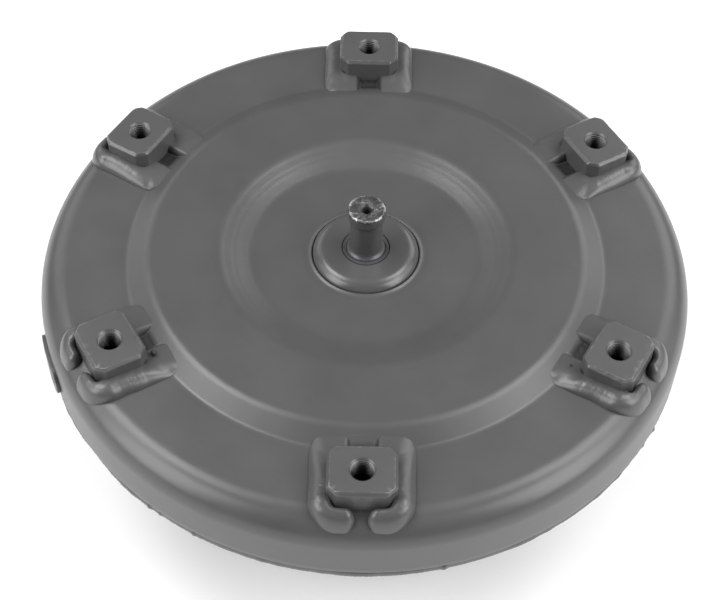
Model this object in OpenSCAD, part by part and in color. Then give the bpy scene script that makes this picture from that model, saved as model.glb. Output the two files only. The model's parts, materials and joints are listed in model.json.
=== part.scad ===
// Lock-up torque converter with six threaded drive pads.
// Units are millimetres. Z = 0 is the face of the drive pads, +Z points to the engine.
// Every piece is a body of revolution about Z, or a ring of equal pieces about Z.

/* [Front cover] */
// Outside radius of the cover skirt
body_r = 159.6; // [155:0.1:164]
// Thickness of the stamped cover
cover_t = 5; // [4:0.5:6]
// Height of the outer ring that carries the pads
ring_z = -13; // [-14:0.5:-12]
// Height of the raised middle disc
disc_z = -8.1; // [-9:0.1:-7]
// Height of the sunken centre floor
floor_z = -13.4; // [-15:0.1:-12]
// Radius of the shoulder between the outer ring and the skirt
shoulder_r = 14; // [10:0.5:17]
// Height of the free edge of the skirt
skirt_z = -46.3; // [-50:0.1:-42]

/* [Drive pads] */
// Number of drive pads
pad_count = 6; // [6:1:6]
// Pitch circle radius of the threaded holes
pad_pitch_r = 134.8; // [134:0.1:136]
// Pad size round the circle
pad_w = 31.3; // [28:0.1:34]
// Pad size along the radius
pad_l = 26; // [24:0.1:28]
// Corner radius of a pad
pad_corner_r = 4.8; // [2:0.1:6]
// Chamfer round the top of a pad
pad_chamfer = 1.3; // [0.5:0.1:2]
// Radius of the thread bore, M12 x 1.25
thread_r = 5.32; // [5:0.01:5.6]
// Radius of the countersunk mouth of the thread
mouth_r = 6.15; // [6:0.05:6.6]
// Leg of the weld beads round the pads
bead_r = 6.5; // [5:0.1:6.8]

/* [Crank pilot] */
// Radius of the head that centres in the crankshaft
pilot_r = 9.04; // [8:0.01:10]
// Height of the end of the pilot
pilot_top_z = 18.5; // [15:0.1:22]
// Length of the head
head_len = 6.2; // [5:0.1:8]
// Radius of the waist below the head
waist_r = 7.85; // [7:0.05:8.5]
// Radius of the domed boss
boss_r = 26.25; // [25:0.05:28]

/* [Fluid circuit] */
// Radius of the ring that the fluid circulates round
torus_r = 96; // [95.5:0.5:96]
// Height of the plane between impeller and turbine
torus_z = -77; // [-77:0.5:-77]
// Number of impeller blades
impeller_count = 31; // [27:1:33]
// Number of turbine blades
turbine_count = 29; // [25:1:31]
// Number of stator blades
stator_count = 17; // [13:1:19]

/* [Hubs] */
// Outside radius of the pump drive hub
hub_r = 28.55; // [28:0.05:29]
// Bore radius of the pump drive hub
hub_bore_r = 25; // [24:0.1:25.5]
// Height of the free end of the pump drive hub
hub_end_z = -150; // [-160:1:-140]
// Teeth in the turbine spline
turbine_teeth = 26; // [22:1:28]
// Teeth in the stator support spline
stator_teeth = 32; // [28:1:34]

/* [Lock-up clutch and damper] */
// Travel of the piston between released and applied
stroke = 1; // [0.8:0.1:1]
// Number of damper springs
spring_count = 6; // [6:1:6]
// Outside radius of a damper spring
spring_r = 6.5; // [6:0.1:6.5]
// Twist of the damper each way, in degrees
twist = 6; // [4:0.5:6]

/* [Hidden] */
$fn = 96;

// Gap that keeps blade edges just clear of the shells they are brazed to
braze_gap = 0.15;

// Front cover outline
boss_hole_r = 22;
dish_r0 = 53.5;
dish_r1 = 75;
brow_r0 = 104.2;
brow_r1 = 117.8;
skirt_in_r = body_r - cover_t;
shoulder_in_r = shoulder_r - cover_t;
arc_steps = 10;

// Boss and pilot
boss_top_z = -9.3;
boss_flat_r = 20.3;
boss_dome_r = 6.5;
boss_inner_z = -20;
boss_inner_r = 29;
seat_r = 11.4;
seat_gap = 0.35;
flare_r = 9.4;
flare_z = -8.3;
pilot_seat_z = -13;
pilot_stem_r = 8;
centre_drill_r = 2.4;
centre_drill_depth = 7;

// Pads
pad_bottom_z = ring_z;
mouth_depth = mouth_r - thread_r;
bead_gap_out = 6;
bead_gap_in = 8;

// Skirt weight and closing weld
weight_t = 1.8;
weight_az0 = 194.6;
weight_az1 = 205.8;
weight_z0 = -44;
weight_z1 = -28.5;
weight_hole_r = 2;
weight_corner_r = 6.5;
weld_root_r = skirt_in_r;
weld_h = 4.5;

// Impeller shell: a collar inside the skirt, a small bend, a straight flank, and the round back
shell_t = 4;
collar_top_z = -38;
bend_r = 9;
bend_c = [skirt_in_r - bend_r, -51];
back_r = 40;
back_c = [torus_r, torus_z];
flank_a = atan2(bend_c[1] - back_c[1], bend_c[0] - back_c[0])
    - acos((back_r - bend_r) / norm(bend_c - back_c));
shell_flange_top_z = torus_z - 20;
shell_flange_z = shell_flange_top_z - shell_t;
shell_flange_r = 47;
blade_tip_r = 133;

// Turbine shell
passage_turbine_r = 34.5;
turbine_t = 2.5;
plane_gap = 1.2;
turbine_flange_z = torus_z + 24.5;
turbine_flange_r = 44;
core_r = 14;
core_t = 1.5;
blade_t = 1.2;

// Stator
stator_out_r = 60;
shroud_r0 = 80;
shroud_r1 = 83;
stator_half = 11;
stator_mid_z = torus_z;
collar_half = 15;
collar_r = 52;
clearance_r = 88;
clearance_half = 14;
plate_r = 46;
plate_half = 14;
race_out_r = 42;
race_half = 10;
rebate_r = 43.8;
rebate = 1.8;
snap_t = 1.4;
snap_groove = 1.2;
land_r = 29.6;
inner_race_r = 29;
roller_r = 2.9;
roller_count = 10;
roller_path_r = 32.05;
stator_minor_r = 21;
stator_major_r = 22.3;
inner_race_half = 13.7;

// Turbine hub
turbine_minor_r = 16.6;
turbine_major_r = 18;
hub_front_z = -22.3;
journal_r = 30;
hub_waist_r = 27;
seat_z = -31.5;
front_flange_z = -35.5;
front_flange_back_z = -40;
front_flange_r = 52;
rear_flange_z = -55;
hub_rear_z = -59;
rear_flange_r = 59;
groove_z0 = -26.9;
groove_z1 = -24.5;
groove_r = 27.4;
flange_rivet_path_r = 42;
flange_rivet_count = 8;
turbine_rivet_path_r = 54;
turbine_rivet_count = 12;

// Piston and damper
lining_t = 1.2;
lining_r0 = 121;
lining_r1 = 145;
piston_r = 148;
piston_t = 5;
friction_z = ring_z - cover_t;
piston_front_z = friction_z - stroke - lining_t;
piston_bore_r = journal_r + 0.05;
sleeve_r = 35;
sleeve_end_z = -29.5;
tang_count = 8;
tang_r0 = 133;
tang_r1 = 137.4;
tang_end_z = -32;
tang_deg = 12;
damper_z = -33.5;
flange_t = 4;
flange_r = 129;
pivot_r = 61.95;
pivot_inner_r = 56;
plate_gap = 0.9;
plate_t = 2.5;
plate_bore_r = 62;
front_plate_r = 137.5;
rear_plate_r = 131;
spring_path_r = 106;
spring_len = 46;
wire_r = 1.4;
window_slack = 0.4;
spacer_path_r = 124;
spacer_r = 3.5;

// Thrust bearings
race_t = 0.9;
needle_r = 1;
bearing_r0 = 32;
bearing_r1 = 44;
needle_count = 36;
needle_len = 8.5;

// ---------- helpers ----------

// Points of an arc about c, in the (radius, height) plane
function arc(c, r, a0, a1, n = arc_steps) =
    [for (i = [0:n]) let (a = a0 + (a1 - a0) * i / n) [c[0] + r * cos(a), c[1] + r * sin(a)]];

// A smooth S-shaped ramp from p0 to p1
function ramp(p0, p1, n = arc_steps) =
    [for (i = [0:n]) let (t = i / n)
        [p0[0] + (p1[0] - p0[0]) * t, p0[1] + (p1[1] - p0[1]) * (1 - cos(180 * t)) / 2]];

// A straight ramp from p0 to p1, rounded over the share k0 of its start and k1 of its end
function rounded_ramp(p0, p1, k0, k1, n = 2 * arc_steps) =
    let (steep = 1 / (1 - (k0 + k1) / 2))
    [for (i = [0:n]) let (t = i / n, h = t < k0 ? steep * t * t / (2 * k0)
            : t > 1 - k1 ? 1 - steep * (1 - t) * (1 - t) / (2 * k1) : steep * (t - k0 / 2))
        [p0[0] + (p1[0] - p0[0]) * t, p0[1] + (p1[1] - p0[1]) * h]];

function dish(shift, z) =
    rounded_ramp([dish_r0 + shift, floor_z + z], [dish_r1 + shift, disc_z + z], 0.25, 0.22);

function brow(shift, z) =
    rounded_ramp([brow_r0 + shift, disc_z + z], [brow_r1 + shift, ring_z + z], 0.34, 0.14);

function reversed(v) = [for (i = [len(v) - 1:-1:0]) v[i]];

function shifted(v, d) = [for (p = v) p + d];

// Centre of the circle of radius r that passes through a and b
function arc_centre(a, b, r) =
    let (m = (a + b) / 2, d = b - a, half = norm(d) / 2, h = sqrt(r * r - half * half))
    m + h * [-d[1], d[0]] / (2 * half);

// A full turn of an outline given in the (radius, height) plane
module turned(outline) {
    rotate_extrude() polygon(outline);
}

// A plain ring between two radii and two heights
module ring(r0, r1, z0, z1) {
    translate([0, 0, z0]) difference() {
        cylinder(r = r1, h = z1 - z0);
        translate([0, 0, -1]) cylinder(r = r0, h = z1 - z0 + 2);
    }
}

// Flat ring sector, extruded upwards from z0 to z1
module sector(r0, r1, deg, z0, z1) {
    rotate([0, 0, -deg / 2]) translate([0, 0, z0])
        rotate_extrude(angle = deg) translate([r0, 0]) square([r1 - r0, z1 - z0]);
}

// Copies its children n times round the axis
module around(n, start = 0) {
    for (i = [0:n - 1]) rotate([0, 0, start + 360 * i / n]) children();
}

// Rectangle with round corners, centred
module round_rect(w, l, r) {
    square([w, l - 2 * r], center = true);
    square([w - 2 * r, l], center = true);
    for (x = [-1, 1], y = [-1, 1]) translate([x * (w / 2 - r), y * (l / 2 - r)]) circle(r);
}

// Splined hole outline: a round bore with straight-sided grooves
module spline_hole(minor_r, major_r, teeth) {
    groove_w = PI * minor_r / teeth;
    circle(minor_r);
    around(teeth) translate([0, -groove_w / 2]) square([major_r, groove_w]);
}

// ---------- housing, engine side ----------

cover_outside = concat(
    [[boss_hole_r, floor_z]],
    dish(0, 0),
    brow(0, 0),
    arc([body_r - shoulder_r, ring_z - shoulder_r], shoulder_r, 90, 0));

cover_inside = concat(
    [[boss_hole_r, floor_z - cover_t]],
    dish(0.8, -cover_t),
    brow(-1.1, -cover_t),
    arc([skirt_in_r - shoulder_in_r, ring_z - shoulder_r], shoulder_in_r, 90, 0));

module front_cover() {
    color("#6c6c6e") turned(concat(cover_outside,
        [[body_r, skirt_z], [skirt_in_r, skirt_z]], reversed(cover_inside)));
}

module pilot_boss() {
    color("#6a6a6c") difference() {
        turned(concat(
            [[0, boss_top_z]],
            arc([boss_flat_r, boss_top_z - boss_dome_r], boss_dome_r, 90,
                acos((boss_r - boss_flat_r) / boss_dome_r)),
            [[boss_r, floor_z], [boss_hole_r, floor_z], [boss_hole_r, floor_z - cover_t],
             [boss_inner_r, floor_z - cover_t], [boss_inner_r, boss_inner_z], [0, boss_inner_z]]));
        translate([0, 0, pilot_seat_z]) cylinder(r = seat_r + seat_gap, h = 10);
        translate([0, 0, boss_inner_z - 1]) cylinder(r = pilot_stem_r, h = 12);
    }
}

module crank_pilot() {
    neck_z = pilot_top_z - head_len;
    color("#4b4b4d") difference() {
        turned([[0, boss_inner_z], [pilot_stem_r, boss_inner_z], [pilot_stem_r, pilot_seat_z],
            [seat_r, pilot_seat_z], [seat_r, boss_top_z], [flare_r, boss_top_z],
            [flare_r, flare_z - 0.3], [waist_r, flare_z + 0.5],
            [waist_r, neck_z - 1.2], [pilot_r, neck_z], [pilot_r, pilot_top_z - 0.5],
            [pilot_r - 0.45, pilot_top_z], [0, pilot_top_z]]);
        translate([0, 0, pilot_top_z - centre_drill_depth])
            cylinder(r = centre_drill_r, h = centre_drill_depth + 1);
    }
}

// One drive pad, standing on the outer ring of the cover, at +X
module drive_pad(number) {
    color("#6e6e70") rotate([0, 0, pad_angle(number)]) translate([pad_pitch_r, 0, 0]) difference() {
        union() {
            translate([0, 0, pad_bottom_z]) linear_extrude(-pad_bottom_z - pad_chamfer)
                round_rect(pad_l, pad_w, pad_corner_r);
            hull() {
                translate([0, 0, -pad_chamfer]) linear_extrude(0.01)
                    round_rect(pad_l, pad_w, pad_corner_r, $fn = 32);
                translate([0, 0, -0.01]) linear_extrude(0.01)
                    round_rect(pad_l - 2 * pad_chamfer, pad_w - 2 * pad_chamfer,
                        pad_corner_r - pad_chamfer, $fn = 32);
            }
        }
        translate([0, 0, pad_bottom_z - 1]) cylinder(r = thread_r, h = -pad_bottom_z + 2);
        translate([0, 0, -mouth_depth]) cylinder(r1 = thread_r, r2 = mouth_r, h = mouth_depth);
        translate([0, 0, -0.001]) cylinder(r = mouth_r, h = 1);
    }
}

function pad_angle(number) = 30 + 360 / pad_count * (number - 1);

// One C-shaped fillet bead on the +Y side of a pad that is centred on the origin
module weld_bead() {
    hx = pad_l / 2;
    hy = pad_w / 2;
    c = pad_corner_r;
    straight = pad_l - 2 * c;
    // side run
    translate([-straight / 2, hy, 0]) rotate([90, 0, 90]) linear_extrude(straight) quarter(bead_r);
    // corners
    translate([hx - c, hy - c, 0]) rotate_extrude(angle = 90) translate([c, 0]) quarter(bead_r);
    translate([c - hx, hy - c, 0]) rotate([0, 0, 90])
        rotate_extrude(angle = 90) translate([c, 0]) quarter(bead_r);
    // runs along the outer and the inner edge, each with a rounded end
    bead_end(hx, hy - c, bead_gap_out / 2 + bead_r);
    mirror([1, 0, 0]) bead_end(hx, hy - c, bead_gap_in / 2 + bead_r);
}

module bead_end(x, y_start, y_end) {
    translate([x, y_start, 0]) rotate([90, 0, 0]) linear_extrude(y_start - y_end) quarter(bead_r);
    translate([x, y_end, 0]) rotate([0, 0, -90]) rotate_extrude(angle = 90) quarter(bead_r);
}

// Quarter disc, the section of a fillet bead
module quarter(r) {
    intersection() {
        circle(r);
        square(r + 1);
    }
}

module pad_weld(number) {
    color("#707072") rotate([0, 0, pad_angle(number)]) translate([pad_pitch_r, 0, ring_z - 0.6]) {
        weld_bead();
        mirror([0, 1, 0]) weld_bead();
    }
}

module balance_weight() {
    mid_z = (weight_z0 + weight_z1) / 2;
    span = weight_az1 - weight_az0;
    color("#5a5a5c") rotate([0, 0, (weight_az0 + weight_az1) / 2]) difference() {
        sector(body_r, body_r + weight_t, span, weight_z0, weight_z1);
        for (y = [-1, 1], z = [-1, 1])
            translate([body_r - 8, y * (body_r * sin(span / 2) - weight_corner_r),
                mid_z + z * ((weight_z1 - weight_z0) / 2 - weight_corner_r)])
            rotate([0, 90, 0]) linear_extrude(16) difference() {
                translate([-z * (weight_corner_r + 1) / 2, y * (weight_corner_r + 1) / 2])
                    square(weight_corner_r + 1, center = true);
                circle(weight_corner_r);
            }
        for (a = [-3.5, 3.5]) rotate([0, 0, a]) translate([body_r - 1, 0, mid_z]) rotate([0, 90, 0])
            cylinder(r = weight_hole_r, h = weight_t + 2);
    }
}

module closing_weld() {
    color("#686869") turned([[weld_root_r, skirt_z], [body_r - 0.2, skirt_z],
        [body_r - 1, skirt_z - 1.3], [body_r - 2.4, skirt_z - 2.9], [weld_root_r, skirt_z - weld_h]]);
}

// ---------- housing, transmission side ----------

// One face of the impeller shell from the collar round to the flat flange, inset by t
function shell_face(t, flange_z) = concat(
    arc(bend_c, bend_r - t, 0, flank_a),
    arc(back_c, back_r - t, flank_a, asin((torus_z - flange_z) / (back_r - t)) - 180, 2 * arc_steps));

module impeller_shell() {
    color("#6c6c6e") turned(concat(
        [[skirt_in_r, collar_top_z]],
        shell_face(0, shell_flange_z),
        [[shell_flange_r, shell_flange_z], [shell_flange_r, shell_flange_top_z]],
        reversed(shell_face(shell_t, shell_flange_top_z)),
        [[skirt_in_r - shell_t, collar_top_z]]));
}

// Cuts a ring-shaped solid clear of the core and of the stator
module clear_of_stator() {
    difference() {
        children();
        translate([0, 0, stator_mid_z - clearance_half])
            cylinder(r = clearance_r, h = 2 * clearance_half);
    }
}

// Channel of the impeller, between its shell and the core, below the middle plane
module impeller_passage() {
    clear_of_stator() rotate_extrude() difference() {
        intersection() {
            polygon(concat([[torus_r, torus_z]], shell_face(shell_t + braze_gap, shell_flange_top_z)));
            translate([0, torus_z - plane_gap - 50]) square([blade_tip_r, 50]);
        }
        translate(back_c) circle(core_r + braze_gap);
    }
}

// Channel of the turbine, between its shell and the core, above the middle plane
module turbine_passage() {
    clear_of_stator() rotate_extrude() translate(back_c) intersection() {
        difference() {
            circle(passage_turbine_r - braze_gap);
            circle(core_r + braze_gap);
        }
        translate([-50, plane_gap]) square([100, 50]);
    }
}

// Upright curved walls that pass through radius r0 at angle 0 and r1 at the sweep angle
module blade_walls(count, r0, r1, sweep, bend_r) {
    a = [r0, 0];
    b = r1 * [cos(sweep), sin(sweep)];
    c = arc_centre(a, b, bend_r);
    around(count) translate([0, 0, torus_z - 60]) linear_extrude(120) intersection() {
        translate(c) difference() {
            circle(bend_r + blade_t / 2);
            circle(bend_r - blade_t / 2);
        }
        translate(a) rotate(atan2(b[1] - a[1], b[0] - a[0]))
            translate([0, -bend_r / 2]) square([norm(b - a), bend_r * 0.75]);
    }
}

module impeller_blades() {
    color("#8f9194") intersection() {
        impeller_passage();
        blade_walls(impeller_count, 55, 140, 8, 180);
    }
}

module turbine_blades() {
    color("#9a9c9f") intersection() {
        turbine_passage();
        blade_walls(turbine_count, 55, 140, -24, 90);
    }
}

// Half of the core ring, above (side 1) or below (side -1) the middle plane
module core(side) {
    clear_of_stator() rotate_extrude() translate(back_c) intersection() {
        difference() {
            circle(core_r);
            circle(core_r - core_t);
        }
        translate([-core_r, side > 0 ? plane_gap : -core_r - plane_gap]) square([2 * core_r, core_r]);
    }
}

module impeller_core() {
    color("#8f9194") core(-1);
}

module impeller_hub() {
    face_z = stator_mid_z - plate_half - bearing_h();
    slot_w = 12;
    slot_h = 13;
    color("#a5a7aa") difference() {
        turned([[hub_bore_r, hub_end_z + 1.5], [hub_bore_r + 1.5, hub_end_z], [hub_r - 0.8, hub_end_z],
            [hub_r, hub_end_z + 0.8], [hub_r, shell_flange_z - 5], [hub_r + 5, shell_flange_z],
            [shell_flange_r, shell_flange_z], [shell_flange_r, face_z], [hub_bore_r, face_z]]);
        for (a = [0, 180]) rotate([0, 0, a])
            translate([hub_bore_r - 3, -slot_w / 2, hub_end_z - 1]) cube([10, slot_w, slot_h + 1]);
    }
}

module hub_weld() {
    weld_r = 3.4;
    color("#686869") rotate_extrude() translate([shell_flange_r, shell_flange_z]) intersection() {
        circle(weld_r);
        translate([-weld_r, -weld_r]) square([2 * weld_r, weld_r]);
    }
}

module front_thrust_washer() {
    grooves = 6;
    color("#c9a45a") difference() {
        ring(19, boss_hole_r + 5, boss_inner_z - 2.2, boss_inner_z);
        around(grooves) translate([17, -1.5, boss_inner_z - 3]) cube([12, 3, 1.6]);
    }
}

// ---------- turbine ----------

module turbine_shell() {
    out_r = passage_turbine_r + turbine_t;
    back_z = turbine_flange_z - turbine_t;
    a_out = 180 - asin((turbine_flange_z - torus_z) / out_r);
    a_in = 180 - asin((back_z - torus_z) / passage_turbine_r);
    a_edge = asin(plane_gap / out_r);
    a_edge_in = asin(plane_gap / passage_turbine_r);
    color("#9a9c9f") difference() {
        turned(concat(
            arc([torus_r, torus_z], out_r, a_edge, a_out, 2 * arc_steps),
            [[turbine_flange_r, turbine_flange_z], [turbine_flange_r, back_z]],
            arc([torus_r, torus_z], passage_turbine_r, a_in, a_edge_in, 2 * arc_steps)));
        around(turbine_rivet_count)
            rivet_hole(turbine_rivet_path_r, 2.5, back_z - 1, turbine_flange_z + 1);
    }
}

module turbine_core() {
    color("#9a9c9f") core(1);
}

module turbine_hub() {
    color("#b0b2b5") difference() {
        turned([[0, hub_front_z], [journal_r, hub_front_z],
            [journal_r, groove_z1], [groove_r, groove_z1], [groove_r, groove_z0], [journal_r, groove_z0],
            [journal_r, front_flange_z], [front_flange_r, front_flange_z],
            [front_flange_r, front_flange_back_z], [hub_waist_r + 4, front_flange_back_z],
            [hub_waist_r, front_flange_back_z - 4], [hub_waist_r, rear_flange_z + 4],
            [hub_waist_r + 4, rear_flange_z], [rear_flange_r, rear_flange_z],
            [rear_flange_r, hub_rear_z], [0, hub_rear_z]]);
        translate([0, 0, hub_rear_z - 1]) linear_extrude(hub_front_z - hub_rear_z + 2)
            spline_hole(turbine_minor_r, turbine_major_r, turbine_teeth);
        around(flange_rivet_count)
            rivet_hole(flange_rivet_path_r, 3, front_flange_back_z - 1, front_flange_z + 1);
        around(turbine_rivet_count) rivet_hole(turbine_rivet_path_r, 2.5, hub_rear_z - 1, rear_flange_z + 1);
    }
}

module rivet_hole(path_r, r, z0, z1) {
    translate([path_r, 0, z0]) cylinder(r = r, h = z1 - z0);
}

// A rivet along Z: a shank from z0 to z1 and a flat head past each end
module rivet(path_r, shank_r, head_r, head_h, z0, z1) {
    translate([path_r, 0, 0]) rotate_extrude() polygon([[0, z0 - head_h],
        [head_r - 0.5, z0 - head_h], [head_r, z0 - head_h / 2], [head_r, z0], [shank_r, z0],
        [shank_r, z1], [head_r, z1], [head_r, z1 + head_h / 2], [head_r - 0.5, z1 + head_h],
        [0, z1 + head_h]]);
}

module turbine_rivets() {
    color("#85878a") around(turbine_rivet_count)
        rivet(turbine_rivet_path_r, 2.5, 4.2, 1.5, hub_rear_z, turbine_flange_z);
}

module damper_flange() {
    half_w = spring_r + 0.3;
    notch_deg = twist + 2;
    color("#a2a4a7") difference() {
        union() {
            ring(journal_r, flange_r, front_flange_z, seat_z);
            ring(pivot_inner_r, pivot_r, seat_z, damper_z + flange_t / 2 + plate_gap + plate_t);
        }
        around(spring_count) window(half_w, front_flange_z - 1, seat_z + 1);
        around(spring_count, 180 / spring_count)
            sector(spacer_path_r - spacer_r - 2, flange_r + 5, 2 * notch_deg, front_flange_z - 1, seat_z + 1);
        around(flange_rivet_count) rivet_hole(flange_rivet_path_r, 3, front_flange_z - 1, seat_z + 1);
    }
}

// Rectangular spring window, from z0 to z1
module window(half_w, z0, z1) {
    len = spring_len + window_slack;
    translate([spring_path_r - half_w, -len / 2, z0]) cube([2 * half_w, len, z1 - z0]);
}

module flange_rivets() {
    color("#85878a") around(flange_rivet_count)
        rivet(flange_rivet_path_r, 3, 5, 1.8, front_flange_back_z, seat_z);
}

module piston_seal() {
    color("#3a3230") ring(groove_r + 0.1, journal_r, groove_z0 + 0.1, groove_z1 - 0.1);
}

// ---------- damper cage ----------

module damper_plate_front() {
    z0 = damper_z + flange_t / 2 + plate_gap;
    z1 = z0 + plate_t;
    color("#8d8f92") difference() {
        ring(plate_bore_r, front_plate_r, z0, z1);
        around(spring_count) window(spring_r - 0.5, z0 - 1, z1 + 1);
        around(spring_count, 180 / spring_count) rivet_hole(spacer_path_r, spacer_r, z0 - 1, z1 + 1);
        around(tang_count) sector(tang_r0 - 0.4, front_plate_r + 5, tang_deg + 0.6, z0 - 1, z1 + 1);
    }
}

module damper_plate_rear() {
    z1 = damper_z - flange_t / 2 - plate_gap;
    z0 = z1 - plate_t;
    color("#8d8f92") difference() {
        ring(plate_bore_r, rear_plate_r, z0, z1);
        around(spring_count) window(spring_r - 0.5, z0 - 1, z1 + 1);
        around(spring_count, 180 / spring_count) rivet_hole(spacer_path_r, spacer_r, z0 - 1, z1 + 1);
    }
}

module damper_rivets() {
    reach = flange_t / 2 + plate_gap;
    color("#85878a") around(spring_count, 180 / spring_count)
        rivet(spacer_path_r, spacer_r, 5.2, 1.4, damper_z - reach - plate_t, damper_z + reach + plate_t);
}

// Each coil spring is a closed tube of its outer size
module damper_springs() {
    color("#5f6b77") around(spring_count) translate([spring_path_r, spring_len / 2, damper_z])
        rotate([90, 0, 0]) difference() {
            cylinder(r = spring_r, h = spring_len);
            translate([0, 0, -1]) cylinder(r = spring_r - 2 * wire_r, h = spring_len + 2);
        }
}

// ---------- lock-up piston ----------

module lockup_piston() {
    raised = 2.5;
    z = piston_front_z;
    front = concat([[piston_bore_r, z]], ramp([60, z], [66, z + raised]),
        ramp([109, z + raised], [115, z]), [[piston_r, z]]);
    back = concat([[sleeve_r, sleeve_end_z], [sleeve_r, z - piston_t]],
        shifted(ramp([60, z], [66, z + raised]), [0, -piston_t]),
        shifted(ramp([109, z + raised], [115, z]), [0, -piston_t]), [[piston_r, z - piston_t]]);
    color("#9fa1a4") {
        turned(concat(front, reversed(back), [[piston_bore_r, sleeve_end_z]]));
        around(tang_count) sector(tang_r0, tang_r1, tang_deg, tang_end_z, z - piston_t / 2);
    }
}

module friction_lining() {
    color("#8a6f4e") ring(lining_r0, lining_r1, piston_front_z, piston_front_z + lining_t);
}

// ---------- stator and one-way clutch ----------

// Section of a stator blade: the first axis is round the circle, the second is along Z
module blade_section() {
    chord = 2 * stator_half - 1;
    steps = 14;
    camber = 5;
    thick = 5.5;
    // fullness of the blade along its chord, t from the nose (0) to the tail (1)
    function fullness(t) = thick * (2.6 * sqrt(t) * (1 - t) * (1 - 0.35 * t)) + 0.7 * t;
    function mean_line(t) = camber * sin(180 * pow(t, 0.8));
    upper = [for (i = [0:steps]) let (t = i / steps)
        [mean_line(t) + fullness(t) / 2, stator_half - 0.5 - chord * t]];
    lower = [for (i = [steps:-1:1]) let (t = i / steps)
        [mean_line(t) - fullness(t) / 2, stator_half - 0.5 - chord * t]];
    polygon(concat(upper, lower));
}

module stator_wheel() {
    z = stator_mid_z;
    color("#b9bbbd") {
        difference() {
            union() {
                ring(race_out_r, stator_out_r, z - stator_half, z + stator_half);
                ring(race_out_r, collar_r, z - collar_half, z + collar_half);
            }
            for (s = [-1, 1]) {
                translate([0, 0, z + (s > 0 ? race_half : -race_half - 10)])
                    cylinder(r = plate_r, h = 10);
                translate([0, 0, z + s * (plate_half - rebate / 2 + 0.1) - snap_t / 2 - 0.05])
                    cylinder(r = plate_r + snap_groove, h = snap_t + 0.1);
            }
        }
        ring(shroud_r0, shroud_r1, z - stator_half, z + stator_half);
        around(stator_count) intersection() {
            translate([stator_out_r - 2, 0, z]) rotate([90, 0, 90])
                linear_extrude(shroud_r0 - stator_out_r + 3) blade_section();
            ring(stator_out_r - 0.5, shroud_r0 + 0.5, z - stator_half, z + stator_half);
        }
    }
}

module clutch_outer_race() {
    pocket = roller_r + 0.12;
    spring_w = 5.2;
    color("#adafb2") translate([0, 0, stator_mid_z - race_half]) linear_extrude(2 * race_half)
        difference() {
            circle(race_out_r);
            circle(land_r);
            around(roller_count) {
                translate([roller_path_r, 0]) circle(pocket);
                translate([roller_path_r - pocket, 0]) square([2 * pocket, 1.2]);
                translate([roller_path_r - pocket, 1]) square([pocket + spring_w / 2, 7]);
            }
        }
}

module clutch_rollers() {
    color("#c4c6c9") around(roller_count)
        translate([roller_path_r, 0, stator_mid_z - race_half + 0.5])
            cylinder(r = roller_r, h = 2 * race_half - 1);
}

// Each clutch spring is a folded strip of spring steel that pushes a roller up its ramp
module clutch_springs() {
    strip_t = 0.3;
    color("#8f9194") around(roller_count)
        translate([roller_path_r - 0.4, 0, stator_mid_z - 6]) linear_extrude(12)
            for (i = [0:2]) translate([0, 3.3 + 1.5 * i]) {
                translate([-1.8, 0]) square([3.6, strip_t]);
                if (i < 2) translate([i == 0 ? 1.5 : -1.8, 0]) square([strip_t, 1.5 + strip_t]);
            }
}

// Side plate of the clutch; side is 1 for the front plate, -1 for the rear plate
module stator_plate(side) {
    color("#c2b280") translate([0, 0, stator_mid_z]) mirror([0, 0, side > 0 ? 0 : 1])
        turned([[inner_race_r + 0.05, race_half], [plate_r - 0.05, race_half],
            [plate_r - 0.05, plate_half - rebate], [rebate_r, plate_half - rebate],
            [rebate_r, plate_half], [inner_race_r + 0.05, plate_half]]);
}

module stator_snap_rings() {
    opening = 16;
    color("#7f8184") for (s = [-1, 1])
        translate([0, 0, stator_mid_z + s * (plate_half - rebate / 2 + 0.1)])
            sector(rebate_r + 0.4, plate_r + snap_groove - 0.1, 360 - opening, -snap_t / 2, snap_t / 2);
}

module clutch_inner_race() {
    h = inner_race_half;
    color("#bfc1c4") translate([0, 0, stator_mid_z]) difference() {
        turned([[0, -h], [inner_race_r - 0.6, -h], [inner_race_r, 0.6 - h],
            [inner_race_r, h - 0.6], [inner_race_r - 0.6, h], [0, h]]);
        translate([0, 0, -h - 1]) linear_extrude(2 * h + 2)
            spline_hole(stator_minor_r, stator_major_r, stator_teeth);
    }
}

// ---------- needle thrust bearings ----------

// Height of a whole bearing: two races, the needles, and a little end play
function bearing_h() = 2 * race_t + 2 * needle_r + 0.2;

front_bearing_z = hub_rear_z;
rear_bearing_z = stator_mid_z - plate_half;

// Race with its lower face at z, and a lip at its outer edge
module bearing_race(z) {
    color("#c8cacd") ring(bearing_r0 - 1, bearing_r1 + 1, z, z + race_t);
}

// Cage with a slot for each needle, about the middle height z
module bearing_cage(z) {
    half = 0.6;
    color("#b08d57") difference() {
        ring(bearing_r0, bearing_r1, z - half, z + half);
        around(needle_count) translate([bearing_r0 + 1.6, -needle_r - 0.05, z - 3])
            cube([needle_len + 0.3, 2 * needle_r + 0.1, 6]);
    }
}

module bearing_needles(z) {
    color("#d0d2d4") around(needle_count) translate([bearing_r0 + 1.75, 0, z])
        rotate([0, 90, 0]) cylinder(r = needle_r, h = needle_len);
}

// ---------- assembly ----------

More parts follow.
